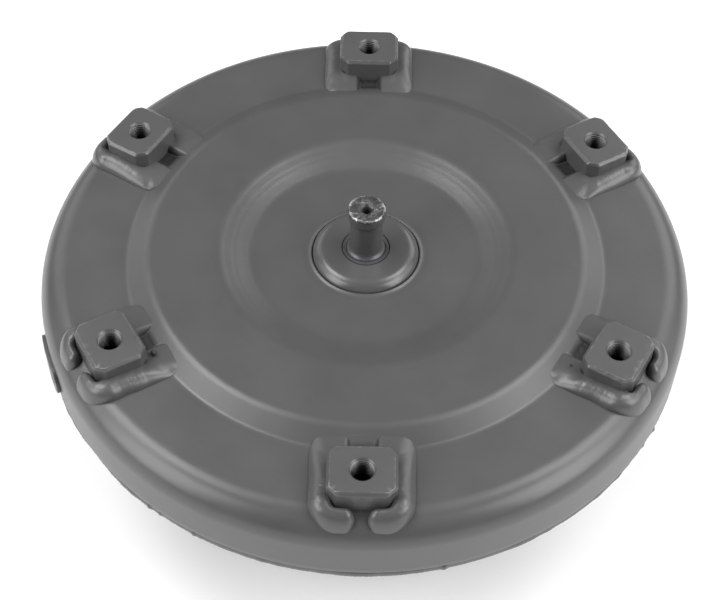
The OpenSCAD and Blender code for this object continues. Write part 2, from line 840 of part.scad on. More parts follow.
front_cover();
pilot_boss();
crank_pilot();
drive_pad(1);  // drive_pad_1
drive_pad(2);  // drive_pad_2
drive_pad(3);  // drive_pad_3
drive_pad(4);  // drive_pad_4
drive_pad(5);  // drive_pad_5
drive_pad(6);  // drive_pad_6
pad_weld(1);  // pad_weld_1
pad_weld(2);  // pad_weld_2
pad_weld(3);  // pad_weld_3
pad_weld(4);  // pad_weld_4
pad_weld(5);  // pad_weld_5
pad_weld(6);  // pad_weld_6
closing_weld();
balance_weight();
impeller_shell();
impeller_blades();
impeller_core();
impeller_hub();
hub_weld();
front_thrust_washer();
turbine_shell();
turbine_blades();
turbine_core();
turbine_hub();
turbine_rivets();
damper_flange();
flange_rivets();
piston_seal();
damper_plate_front();
damper_plate_rear();
damper_rivets();
damper_springs();
lockup_piston();
friction_lining();
stator_wheel();
clutch_outer_race();
clutch_rollers();
clutch_springs();
stator_plate(1);  // stator_plate_front
stator_plate(-1);  // stator_plate_rear
stator_snap_rings();
clutch_inner_race();
bearing_race(front_bearing_z - race_t);  // front_bearing_turbine_race
bearing_cage(front_bearing_z - bearing_h() / 2);  // front_bearing_cage
bearing_needles(front_bearing_z - bearing_h() / 2);  // front_bearing_needles
bearing_race(front_bearing_z - bearing_h());  // front_bearing_stator_race
bearing_race(rear_bearing_z - race_t);  // rear_bearing_stator_race
bearing_cage(rear_bearing_z - bearing_h() / 2);  // rear_bearing_cage
bearing_needles(rear_bearing_z - bearing_h() / 2);  // rear_bearing_needles
bearing_race(rear_bearing_z - bearing_h());  // rear_bearing_impeller_race
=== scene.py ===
"""Looks of the torque converter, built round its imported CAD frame. Lengths are in millimetres
until a mesh is made, when they become metres."""

import json
import math

import bpy
import numpy as np
from mathutils import Matrix, Vector


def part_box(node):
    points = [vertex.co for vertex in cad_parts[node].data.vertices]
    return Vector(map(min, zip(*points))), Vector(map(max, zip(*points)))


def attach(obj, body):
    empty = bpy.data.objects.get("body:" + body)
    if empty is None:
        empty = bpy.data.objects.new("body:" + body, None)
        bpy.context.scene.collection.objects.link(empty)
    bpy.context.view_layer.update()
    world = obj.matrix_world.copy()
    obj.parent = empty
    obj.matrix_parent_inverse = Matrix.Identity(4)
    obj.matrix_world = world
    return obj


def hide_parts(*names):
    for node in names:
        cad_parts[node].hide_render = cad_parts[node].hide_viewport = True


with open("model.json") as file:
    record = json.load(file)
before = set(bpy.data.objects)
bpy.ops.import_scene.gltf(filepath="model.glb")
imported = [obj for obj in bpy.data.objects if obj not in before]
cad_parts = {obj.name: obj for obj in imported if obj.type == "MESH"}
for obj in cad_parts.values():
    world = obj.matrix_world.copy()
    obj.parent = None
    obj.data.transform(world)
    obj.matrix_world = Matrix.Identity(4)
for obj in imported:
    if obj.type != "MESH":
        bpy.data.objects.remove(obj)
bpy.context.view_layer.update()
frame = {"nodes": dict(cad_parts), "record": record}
MM = 0.001
scene = bpy.context.scene


# ---------- sizes, read from the frame ----------


def low(node):
    return np.array(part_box(node)[0]) / MM


def high(node):
    return np.array(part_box(node)[1]) / MM


BODY_R = float(high("front_cover")[0])
SKIRT_Z = float(low("front_cover")[2])
DISC_Z = float(high("front_cover")[2])
RING_Z = float(low("drive_pad_2")[2])
PAD_HALF_W = float(high("drive_pad_2")[0])
PAD_IN_R = float(low("drive_pad_2")[1])
PAD_OUT_R = float(high("drive_pad_2")[1])
PAD_HALF_L = (PAD_OUT_R - PAD_IN_R) / 2
PAD_PITCH_R = (PAD_IN_R + PAD_OUT_R) / 2
PILOT_TOP = float(high("crank_pilot")[2])
PILOT_LOW = float(low("crank_pilot")[2])
BOSS_TOP = float(high("pilot_boss")[2])
HUB_END = float(low("impeller_hub")[2])

COVER_T = 5.0
SHOULDER_R = 14.0
FLOOR_Z = -13.4
DISH_R0, DISH_R1 = 53.5, 75.0
BROW_R0, BROW_R1 = 104.2, 117.8
BOSS_HOLE_R = 22.0
BOSS_R = 26.25
PAD_ANGLES = [30 + 60 * i for i in range(6)]
WEIGHT_AZ = (194.6, 205.8)
BACK_R, TORUS_R, TORUS_Z = 40.0, 96.0, -77.0
BLADES = 31
# tapped hole of the pads, M12 x 1.25
MOUTH_R, THREAD_R, THREAD_DEPTH, THREAD_PITCH = 6.15, 5.32, 0.68, 1.25
THREAD_TOP, THREAD_AROUND = -0.86, 72
# crank pilot, and its centre drilling
PILOT_R, WAIST_R, DRILL_R = 9.04, 7.85, 2.4
# steps out and up from the boss's edge of the cover's raised lip round it
LIP = ((0.15, -0.9), (0.2, -0.1), (0.35, 0.28), (0.65, 0.44), (0.95, 0.40), (1.35, 0.22), (1.8, 0.05),
       (2.4, -0.02), (3.4, -0.05), (4.2, 0.02), (5.0, 0.06), (6.5, 0.0))
# angle round the closing weld, height and length of its largest lumps
WELD_BUMPS = ((283.8, 0.9, 1.3), (330.9, 0.8, 1.2), (327.0, 0.5, 1.0), (232.4, 0.8, 1.2), (234.7, 0.6, 1.0),
              (241.6, 0.7, 1.2), (242.8, 0.5, 0.8), (98.0, 0.6, 1.2), (51.0, 0.5, 1.0), (143.0, 0.6, 1.1))


# ---------- shape helpers ----------


def waves(p, scale, seed):
    """Smooth noise of about unit size whose features are about scale millimetres across."""
    count = 10
    rng = np.random.default_rng(seed)
    k = rng.normal(size=(count, 3))
    k /= np.linalg.norm(k, axis=1, keepdims=True)
    k *= (2 * math.pi / scale) * rng.uniform(0.6, 1.4, (count, 1))
    phase = rng.uniform(0, 2 * math.pi, count)
    return np.cos(np.asarray(p, float) @ k.T + phase).sum(-1) / math.sqrt(count / 2)


def smooth(t):
    t = np.clip(t, 0, 1)
    return t * t * (3 - 2 * t)


def arc(cx, cz, r, a0, a1, n):
    a = np.radians(np.linspace(a0, a1, n + 1))
    return np.stack([cx + r * np.cos(a), cz + r * np.sin(a)], 1)


def line(p0, p1, n):
    t = np.linspace(0, 1, n + 1)[:, None]
    return np.array(p0, float) * (1 - t) + np.array(p1, float) * t


def angles(n):
    return np.linspace(0, 2 * math.pi, n, endpoint=False)


def polar(r, a, z):
    """Points at radius r, angle a and height z, which can be numbers or arrays."""
    return np.stack(np.broadcast_arrays(r * np.cos(a), r * np.sin(a), z), -1)


def joined(*parts):
    """One (radius, height) outline from several, without points that repeat."""
    pts = np.concatenate([np.atleast_2d(np.array(p, float)) for p in parts])
    keep = [0]
    for i in range(1, len(pts)):
        if np.linalg.norm(pts[i] - pts[keep[-1]]) > 1e-4:
            keep.append(i)
    return pts[keep]


def quads(rows, cols, wrap_rows=False, wrap_cols=False):
    """Faces of a grid whose vertex (i, j) is number i * cols + j."""
    i = np.arange(rows if wrap_rows else rows - 1)
    j = np.arange(cols if wrap_cols else cols - 1)
    i, j = np.meshgrid(i, j, indexing="ij")
    i, j = i.ravel(), j.ravel()
    i2, j2 = (i + 1) % rows, (j + 1) % cols
    return np.stack([i * cols + j, i * cols + j2, i2 * cols + j2, i2 * cols + j], 1).tolist()


def flipped(faces):
    return [face[::-1] for face in faces]


def slab_faces(rows, cols):
    """Faces of a closed slab whose two skins are grids of rows x cols vertices, one after the other."""
    n = rows * cols
    faces = quads(rows, cols)
    faces = faces + [[k + n for k in face[::-1]] for face in faces]
    rim = ([i * cols for i in range(rows)] + [(rows - 1) * cols + j for j in range(1, cols)]
           + [i * cols + cols - 1 for i in range(rows - 2, -1, -1)] + list(range(cols - 2, 0, -1)))
    return faces + [[a, b, b + n, a + n] for a, b in zip(rim, rim[1:] + rim[:1])]


def make(name, verts, faces, material, body, replaces=(), sharp=35.0, wear_and_shade=None):
    """A piece from vertices in millimetres, smooth except at edges sharper than sharp degrees."""
    mesh = bpy.data.meshes.new(name)
    mesh.from_pydata((np.asarray(verts, float) * MM).tolist(), [], faces)
    mesh.validate()
    mesh.update()
    mesh.polygons.foreach_set("use_smooth", [True] * len(mesh.polygons))
    mesh.set_sharp_from_angle(angle=math.radians(sharp))
    # the wear_and_shade attribute holds real wear on some pieces and painted shade on others
    if wear_and_shade is not None:
        layer = mesh.attributes.new("wear_and_shade", "FLOAT", "POINT")
        layer.data.foreach_set("value", np.asarray(wear_and_shade, np.float32))
    mesh.materials.append(material)
    piece = bpy.data.objects.new(name, mesh)
    scene.collection.objects.link(piece)
    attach(piece, body)
    if replaces:
        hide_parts(*replaces)
    return piece


def revolve(outline, segments):
    """Grid of vertices of a closed outline turned about Z, and its faces, facing outwards."""
    r, z = outline.T
    verts = polar(r, angles(segments)[:, None], z).reshape(-1, 3)
    faces = quads(segments, len(outline), wrap_rows=True, wrap_cols=True)
    area = np.sum(r * np.roll(z, -1) - np.roll(r, -1) * z)
    return verts, faces if area < 0 else flipped(faces)


def spin_solid(outline, segments):
    """Like revolve, for an outline that starts and ends on the axis."""
    inner = outline[1:-1]
    ring = polar(inner[:, 0], angles(segments)[:, None], inner[:, 1])
    verts = np.concatenate([ring.reshape(-1, 3), [[0, 0, outline[0, 1]], [0, 0, outline[-1, 1]]]])
    n = len(inner)
    faces = quads(segments, n, wrap_rows=True)
    top, bottom = segments * n, segments * n + 1
    for i in range(segments):
        j = (i + 1) % segments
        faces.append([i * n, j * n, top])
        faces.append([j * n + n - 1, i * n + n - 1, bottom])
    return verts, flipped(faces) if outline[0, 1] > outline[-1, 1] else faces


def turn(verts, degrees):
    a = math.radians(degrees)
    c, s = math.cos(a), math.sin(a)
    return np.asarray(verts) @ np.array([[c, -s, 0], [s, c, 0], [0, 0, 1]]).T


def merge(parts):
    """One vertex list and face list from several."""
    verts, faces, base = [], [], 0
    for v, f in parts:
        verts.append(np.asarray(v, float))
        faces += [[base + k for k in face] for face in f]
        base += len(v)
    return np.concatenate(verts), faces


# ---------- materials ----------


class Nodes:
    """Short way to write a material's nodes."""

    def __init__(self, name):
        self.mat = bpy.data.materials.new(name)
        self.mat.use_nodes = True
        self.tree = self.mat.node_tree
        self.bsdf = self.tree.nodes["Principled BSDF"]
        self.coord = self.add("ShaderNodeTexCoord").outputs["Object"]

    def add(self, kind, **values):
        node = self.tree.nodes.new(kind)
        for key, value in values.items():
            setattr(node, key, value)
        return node

    def link(self, a, b):
        self.tree.links.new(a, b)

    def mapped(self, scale=(1, 1, 1), rotation=(0, 0, 0)):
        m = self.add("ShaderNodeMapping")
        m.inputs["Scale"].default_value = scale
        m.inputs["Rotation"].default_value = rotation
        self.link(self.coord, m.inputs["Vector"])
        return m.outputs["Vector"]

    def noise(self, scale, detail=3.0, rough=0.55, vector=None, distortion=0.0):
        n = self.add("ShaderNodeTexNoise")
        n.inputs["Scale"].default_value = scale
        n.inputs["Detail"].default_value = detail
        n.inputs["Roughness"].default_value = rough
        n.inputs["Distortion"].default_value = distortion
        self.link(vector or self.coord, n.inputs["Vector"])
        return n.outputs["Fac"]

    def ramp(self, fac, stops):
        r = self.add("ShaderNodeValToRGB")
        el = r.color_ramp.elements
        while len(el) < len(stops):
            el.new(0.5)
        for e, (pos, col) in zip(el, stops):
            e.position = pos
            e.color = (*col, 1) if not isinstance(col, (int, float)) else (col, col, col, 1)
        self.link(fac, r.inputs["Fac"])
        return r.outputs["Color"]

    def span(self, fac, a0, a1, b0, b1):
        m = self.add("ShaderNodeMapRange")
        for k, v in zip(("From Min", "From Max", "To Min", "To Max"), (a0, a1, b0, b1)):
            m.inputs[k].default_value = v
        self.link(fac, m.inputs["Value"])
        return m.outputs["Result"]

    def math(self, op, a, b):
        m = self.add("ShaderNodeMath", operation=op)
        for socket, v in zip(m.inputs, (a, b)):
            if isinstance(v, (int, float)):
                socket.default_value = v
            else:
                self.link(v, socket)
        return m.outputs[0]

    def mix(self, fac, a, b, blend="MIX"):
        m = self.add("ShaderNodeMix", data_type="RGBA", blend_type=blend)
        for socket, v in zip((m.inputs["Factor"], m.inputs["A"], m.inputs["B"]), (fac, a, b)):
            if isinstance(v, (int, float)):
                socket.default_value = v
            elif isinstance(v, tuple):
                socket.default_value = (*v, 1)
            else:
                self.link(v, socket)
        return m.outputs["Result"]

    def bump(self, height, distance, strength=1.0, normal=None):
        b = self.add("ShaderNodeBump")
        b.inputs["Strength"].default_value = strength
        b.inputs["Distance"].default_value = distance
        self.link(height, b.inputs["Height"])
        if normal is not None:
            self.link(normal, b.inputs["Normal"])
        return b.outputs["Normal"]

    def attribute(self, name):
        return self.add("ShaderNodeAttribute", attribute_name=name).outputs["Fac"]

    def set(self, **values):
        for key, v in values.items():
            socket = self.bsdf.inputs[key.replace("_", " ")]
            if isinstance(v, (int, float)):
                socket.default_value = v
            elif isinstance(v, tuple):
                socket.default_value = (*v, 1)
            else:
                self.link(v, socket)
        return self.mat


def paint(name, grey, rough=0.33, worn=False, shaded_crevices=False):
    """Semi-gloss grey paint: faint orange peel, faint cloudiness, dust pits and a few scratches. Optionally
    its edges are worn to light metal, and optionally its crevices get near-black painted shade."""
    n = Nodes(name)
    cloud = n.noise(28, 4, 0.6)
    base = n.ramp(cloud, [(0.25, tuple(c * 0.93 for c in grey)), (0.75, tuple(c * 1.07 for c in grey))])
    speck = n.ramp(n.noise(2600, 1), [(0.0, 1.0), (0.66, 1.0), (0.76, 0.72)])
    color = n.mix(0.6, base, speck, "MULTIPLY")
    scratch = n.noise(1, 2, 0.5, n.mapped((30, 1500, 30), (0.1, 0.2, 0.7)))
    crossing = n.noise(1, 2, 0.5, n.mapped((1700, 26, 40), (0.3, 0.1, -0.4)))
    marks = n.math("MAXIMUM", n.span(scratch, 0.72, 0.76, 0, 1), n.span(crossing, 0.73, 0.77, 0, 1))
    patch = n.span(n.noise(45, 2), 0.5, 0.66, 0, 1)
    marks = n.math("MULTIPLY", marks, patch)
    color = n.mix(n.math("MULTIPLY", marks, 0.22), color, tuple(min(1, c * 2.1) for c in grey))
    if worn:
        edge = n.attribute("wear_and_shade")
        chips = n.math("MULTIPLY", edge, n.span(n.noise(420, 3, 0.7), 0.36, 0.6, 0.25, 1))
        color = n.mix(n.math("MULTIPLY", chips, 0.65), color, (0.36, 0.36, 0.37))
    roughness = n.span(cloud, 0.2, 0.8, rough - 0.03, rough + 0.04)
    # painted shade: where the wear_and_shade attribute is set, the colour goes near-black and rougher
    if shaded_crevices:
        painted_shade = n.math("MULTIPLY", n.attribute("wear_and_shade"), n.span(n.noise(500, 3), 0.25, 0.5, 0.75, 1))
        color = n.mix(painted_shade, color, (0.003, 0.003, 0.003))
        roughness = n.math("ADD", roughness, n.math("MULTIPLY", painted_shade, 0.35))
    peel = n.bump(n.noise(900, 2), 0.00004, 0.5)
    return n.set(Base_Color=color, Roughness=roughness,
                 Normal=n.bump(n.noise(140, 2), 0.00014, 0.5, peel))


def steel(name, color, rough, brush=(1, 1, 1), stain=0.12):
    """Bare metal with fine marks along one direction, and slight staining."""
    n = Nodes(name)
    grain = n.noise(260, 4, 0.65, n.mapped(brush))
    blotch = n.noise(22, 5, 0.6)
    dark = tuple(c * (1 - stain) for c in color)
    base = n.ramp(blotch, [(0.3, dark), (0.7, color)])
    base = n.mix(0.25, base, n.ramp(grain, [(0.3, 0.75), (0.7, 1.0)]), "MULTIPLY")
    return n.set(Base_Color=base, Metallic=1.0,
                 Roughness=n.span(grain, 0.25, 0.75, rough - 0.06, rough + 0.08),
                 Normal=n.bump(grain, 0.00001, 0.6))


def thread_steel():
    """Cut thread: its crests are bright steel, and its roots and the depths of the hole are painted
    near-black as shade.
    """
    n = Nodes("thread_steel")
    crest = n.span(n.attribute("wear_and_shade"), 0.25, 0.85, 0, 1)
    color = n.mix(crest, (0.005, 0.005, 0.005), (0.30, 0.30, 0.30))
    return n.set(Base_Color=color, Metallic=n.math("MULTIPLY", crest, 0.2),
                 Roughness=n.span(n.noise(700, 3), 0.3, 0.7, 0.32, 0.44))


def scarred_pilot():
    """Dark steel pilot: its end is bare, scuffed and bruised, and its sides are nearly black."""
    n = Nodes("pilot_dark_steel")
    bare = n.attribute("wear_and_shade")
    marks = n.noise(300, 6, 0.72, distortion=0.8)
    patches = n.noise(800, 3, 0.6)
    shine = n.math("ADD", marks, n.span(bare, 0.55, 1, -0.02, 0.10))
    metal = n.ramp(shine, [(0.40, (0.035, 0.035, 0.036)), (0.52, (0.075, 0.075, 0.076)),
                           (0.60, (0.20, 0.20, 0.20)), (0.70, (0.55, 0.55, 0.54))])
    skin = n.ramp(patches, [(0.3, (0.046, 0.046, 0.048)), (0.7, (0.066, 0.066, 0.068))])
    edge = n.math("MULTIPLY", n.span(bare, 0, 0.5, 0, 1), n.span(marks, 0.3, 0.55, 0.55, 1))
    color = n.mix(edge, skin, metal)
    return n.set(Base_Color=color, Metallic=n.math("MULTIPLY", edge, 0.6),
                 Roughness=n.span(marks, 0.3, 0.7, 0.30, 0.44),
                 Normal=n.bump(n.math("MULTIPLY", marks, edge), 0.00035, 0.8,
                               n.bump(patches, 0.00003, 0.5)))


GREY = (0.064, 0.064, 0.065)
PAINT = paint("grey_paint", GREY)
PAINT_PAD = paint("grey_paint_pads", tuple(c * 1.03 for c in GREY), 0.33, worn=True)
PAINT_WELD = paint("grey_paint_welds", tuple(c * 1.06 for c in GREY), 0.31, shaded_crevices=True)
# the boss's paint is a lighter copy of the grey: painted light, to brighten the highlights on its dome
PAINT_BOSS = paint("grey_paint_boss", tuple(c * 1.05 for c in GREY), 0.25)
PAINT_SEAM = paint("grey_paint_seam", tuple(c * 0.95 for c in GREY), 0.36, shaded_crevices=True)
THREAD = thread_steel()
PILOT = scarred_pilot()


# ---------- the front cover ----------


def rounded_ramp(p0, p1, k0, k1, n):
    """Straight ramp from p0 to p1, rounded over the share k0 of its start and k1 of its end."""
    t = np.linspace(0, 1, n + 1)
    steep = 1 / (1 - (k0 + k1) / 2)
    h = np.where(t < k0, steep * t * t / (2 * k0),
                 np.where(t > 1 - k1, 1 - steep * (1 - t) ** 2 / (2 * k1), steep * (t - k0 / 2)))
    return np.stack([p0[0] + (p1[0] - p0[0]) * t, p0[1] + (p1[1] - p0[1]) * h], 1)


def dish(shift, z, n):
    return rounded_ramp([DISH_R0 + shift, FLOOR_Z + z], [DISH_R1 + shift, DISC_Z + z], 0.25, 0.22, n)


def brow(shift, z, n):
    return rounded_ramp([BROW_R0 + shift, DISC_Z + z], [BROW_R1 + shift, RING_Z + z], 0.34, 0.14, n)


def cover_outline():
    """Outside of the cover, from the boss hole to the free edge of the skirt."""
    lip = [[BOSS_HOLE_R, FLOOR_Z - 0.9]] + [[BOSS_R + out, FLOOR_Z + up] for out, up in LIP]
    floor = line([BOSS_R + 8, FLOOR_Z], [DISH_R0 - 2, FLOOR_Z], 9)
    disc = line([DISH_R1 + 1, DISC_Z], [BROW_R0 - 1, DISC_Z], 12)
    foot = [[BROW_R1 + 0.8, RING_Z - 0.03], [BROW_R1 + 1.8, RING_Z]]
    shelf = line([BROW_R1 + 3, RING_Z], [BODY_R - SHOULDER_R - 1, RING_Z], 10)
    shoulder = arc(BODY_R - SHOULDER_R, RING_Z - SHOULDER_R, SHOULDER_R, 90, 0, 26)
    skirt = line([BODY_R, RING_Z - SHOULDER_R - 1], [BODY_R, SKIRT_Z + 0.7], 7)
    return joined(lip, floor, dish(0, 0, 36), disc, brow(0, 0, 28), foot, shelf, shoulder, skirt)


COVER_OUT = cover_outline()


def cover_height(r):
    """Height of the outside of the cover at radius r."""
    top = COVER_OUT[: np.argmax(COVER_OUT[:, 0] >= BODY_R - 1e-3) + 1]
    return np.interp(r, top[:, 0], top[:, 1])


def cover_relief(v):
    """Small errors of a pressed sheet: slow waves on the flats, and spinning marks in the dish."""
    r = np.hypot(v[:, 0], v[:, 1])
    on_top = smooth((r - BOSS_R - 6) / 8) * smooth((BODY_R - 6 - r) / 8)
    slow = 0.055 * waves(v * [1, 1, 0], 70, 3) + 0.022 * waves(v * [1, 1, 0], 28, 5)
    rings = 0.0
    for r0, width, depth in ((58.6, 0.9, 0.035), (63.3, 0.8, 0.03), (66.2, 0.7, 0.03), (68.9, 0.8, -0.03)):
        rings = rings + depth * np.exp(-(((r - r0) / width) ** 2))
    return on_top * slow + rings


def build_cover():
    """The whole pressed cover: outside, free edge of the skirt, and a plainer inside."""
    segments = 420
    inner_r = BODY_R - COVER_T
    edge = [[BODY_R - 0.15, SKIRT_Z + 0.2], [BODY_R - 0.6, SKIRT_Z], [inner_r, SKIRT_Z]]
    inside = joined([[inner_r, RING_Z - SHOULDER_R]],
                    arc(BODY_R - SHOULDER_R, RING_Z - SHOULDER_R, SHOULDER_R - COVER_T, 0, 90, 8),
                    brow(-1.1, -COVER_T, 8)[::-1], dish(0.8, -COVER_T, 8)[::-1],
                    [[BOSS_HOLE_R, FLOOR_Z - COVER_T]])
    outline = joined(COVER_OUT, edge, inside)
    verts, faces = revolve(outline, segments)
    outside = np.tile(np.arange(len(outline)) < len(COVER_OUT), segments)
    verts[:, 2] += cover_relief(verts) * outside
    make("front_cover_skin", verts, faces, PAINT, "housing", ["front_cover"])


# ---------- boss and pilot ----------


def build_boss():
    """Round boss with a flat top and a domed edge, its seat for the pilot, and its inner flange."""
    bore_r, seat_r, seat_z = 8.05, 11.75, -13.0
    dome_r, flat_r = 6.4, 20.25
    flange_r, under_z = 29.0, -20.0
    end = math.degrees(math.acos((BOSS_R - 0.35 - flat_r) / dome_r))
    seat = [[bore_r, seat_z], [seat_r, seat_z], [seat_r, BOSS_TOP - 0.25], [seat_r + 0.25, BOSS_TOP]]
    outline = joined(seat,
                     line([seat_r + 1, BOSS_TOP], [flat_r, BOSS_TOP], 7),
                     arc(flat_r, BOSS_TOP - dome_r, dome_r, 90, end, 30),
                     [[BOSS_R - 0.22, FLOOR_Z - 0.2], [BOSS_R - 0.2, FLOOR_Z - 0.8]],
                     [[BOSS_R - 0.05, FLOOR_Z - 0.9], [BOSS_HOLE_R, FLOOR_Z - 0.95]],
                     [[BOSS_HOLE_R, FLOOR_Z - COVER_T], [flange_r, FLOOR_Z - COVER_T]],
                     [[flange_r, under_z], [bore_r, under_z]])
    verts, faces = revolve(outline, 192)
    make("pilot_boss_dome", verts, faces, PAINT_BOSS, "housing", ["pilot_boss"])


def build_pilot():
    """Headed pin: countersunk drilling, rounded head, waist, flared foot, seat ring and stem."""
    top = PILOT_TOP
    neck = top - 6.2
    rim_r = 0.84
    fall = np.linspace(0, 1, 9)
    drilling = [[0, top - 7.6], [DRILL_R * 0.5, top - 7.3], [DRILL_R, top - 6.6], [DRILL_R, top - 1.6],
                [DRILL_R + 0.15, top - 1.0], [DRILL_R + 1.0, top - 0.25], [DRILL_R + 1.5, top - 0.06]]
    foot = [[7.95, -7.5], [8.25, -8.1], [8.7, -8.6], [9.2, -8.95], [9.35, -9.15]]
    seat = [[9.4, -9.8], [9.68, -9.8], [9.7, -9.36], [9.8, -9.31], [11.3, -9.31], [11.4, -9.5], [11.4, -13]]
    stem = [[8.0, -13], [8.0, PILOT_LOW], [0, PILOT_LOW]]
    out = joined(drilling,
                 line([DRILL_R + 2, top], [PILOT_R - rim_r, top], 14),
                 arc(PILOT_R - rim_r, top - rim_r, rim_r, 90, 0, 6),
                 line([PILOT_R, top - 1.2], [PILOT_R, neck + 1.5], 4),
                 np.stack([PILOT_R - (PILOT_R - WAIST_R) * smooth(fall), neck + 1.1 - 3.0 * fall], 1),
                 line([WAIST_R, neck - 3], [WAIST_R, -6.9], 6),
                 foot, seat, stem)
    verts, faces = spin_solid(out, 144)
    r = np.hypot(verts[:, 0], verts[:, 1])
    head = (verts[:, 2] > neck) & (r > DRILL_R)
    # the scuffed end is not quite flat, and its rim is bruised
    rim = smooth((r - 6.5) / 2.3) * smooth((verts[:, 2] - (top - 2.2)) / 1.6) * head
    dent = 0.10 * waves(verts, 2.4, 21) + 0.10 * waves(verts, 5.5, 22)
    shrink = np.clip(0.12 + dent, 0, 0.5) * rim
    k = 1 - shrink / np.maximum(r, 1)
    verts[:, 0] *= k
    verts[:, 1] *= k
    on_face = head & (verts[:, 2] > top - 0.4)
    marks = 0.05 + 0.05 * waves(verts, 1.8, 23) + 0.05 * waves(verts, 4, 24)
    verts[:, 2] -= on_face * np.clip(marks, 0, 0.25)
    bare = smooth((verts[:, 2] - (top - 1.6)) / 1.2) * (0.55 + 0.45 * smooth((r - 7.2) / 1.4))
    make("crank_pilot_pin", verts, faces, PILOT, "housing", ["crank_pilot"],
         wear_and_shade=np.where(head, bare, 0), sharp=50)


# ---------- drive pads ----------


def pad_loop(half_l, half_w, cut, n):
    """n evenly spaced points of a rectangle whose corners are cut off flat and slightly eased."""
    dense = []
    for sx, sy, start in ((1, 1, 0), (-1, 1, 90), (-1, -1, 180), (1, -1, 270)):
        ease = 1.1 if sx > 0 else 1.8
        tip = np.array([sx * half_l, sy * half_w])
        ends = [tip - [0, sy * cut], tip - [sx * cut, 0]]
        if sx * sy < 0:
            ends = ends[::-1]
        mid = np.array([sx, sy]) / math.sqrt(2)
        first = np.array([math.cos(math.radians(start)), math.sin(math.radians(start))])
        last = np.array([-first[1], first[0]])
        for end, n0, n1 in ((ends[0], first, mid), (ends[1], mid, last)):
            back = (n0 + n1) / (1 + n0 @ n1)
            t = np.linspace(0, 1, 7)[:, None]
            aim = n0 * (1 - t) + n1 * t
            dense.append(end - back * ease + ease * aim / np.linalg.norm(aim, axis=1, keepdims=True))
    dense = np.concatenate(dense + [dense[0][:1]])
    step = np.concatenate([[0], np.cumsum(np.linalg.norm(np.diff(dense, axis=0), axis=1))])
    s = np.linspace(0, step[-1], n, endpoint=False)
    return np.stack([np.interp(s, step, dense[:, 0]), np.interp(s, step, dense[:, 1])], 1)


def build_thread(name, index):
    """Wall and end of a pad's tapped hole. Its wear_and_shade value is how near each point is to a crest,
    fading with depth: painted shade in the roots, down the hole and on its end.
    """
    bottom, per_pitch = RING_Z + 0.35, 10
    rows = int(round((THREAD_TOP - bottom) / THREAD_PITCH * per_pitch)) + 1
    z = np.linspace(THREAD_TOP, bottom, rows)
    zz, aa = np.meshgrid(z, angles(THREAD_AROUND), indexing="ij")
    phase = (zz / THREAD_PITCH - aa / (2 * math.pi)) % 1.0
    cut = np.clip(1.3 * (1 - np.abs(2 * phase - 1)) - 0.2, 0, 1)
    cut = cut * smooth((THREAD_TOP - zz) / 0.5) * smooth((zz - bottom) / 1.2)
    r = THREAD_R + THREAD_DEPTH * cut
    wall = polar(r, aa, zz).reshape(-1, 3)
    # painted shade: away from the crests, and further down the hole, the thread is painted darker
    crest = ((1 - cut) * np.exp(-np.maximum(THREAD_TOP - zz, 0) / 6.0)).ravel()
    faces = quads(rows, THREAD_AROUND, wrap_cols=True)
    last = (rows - 1) * THREAD_AROUND
    faces += [[last + (j + 1) % THREAD_AROUND, last + j, len(wall)] for j in range(THREAD_AROUND)]
    verts = place_on_pad(np.concatenate([wall, [[0, 0, RING_Z + 0.3]]]), index)
    make(name, verts, faces, THREAD, "housing", sharp=60, wear_and_shade=np.append(crest, 0.0))


def place_on_pad(verts, index):
    """From the pad's own frame, with x outwards from the middle of its hole, to the converter's."""
    return turn(np.asarray(verts) + [PAD_PITCH_R, 0, 0], PAD_ANGLES[index])


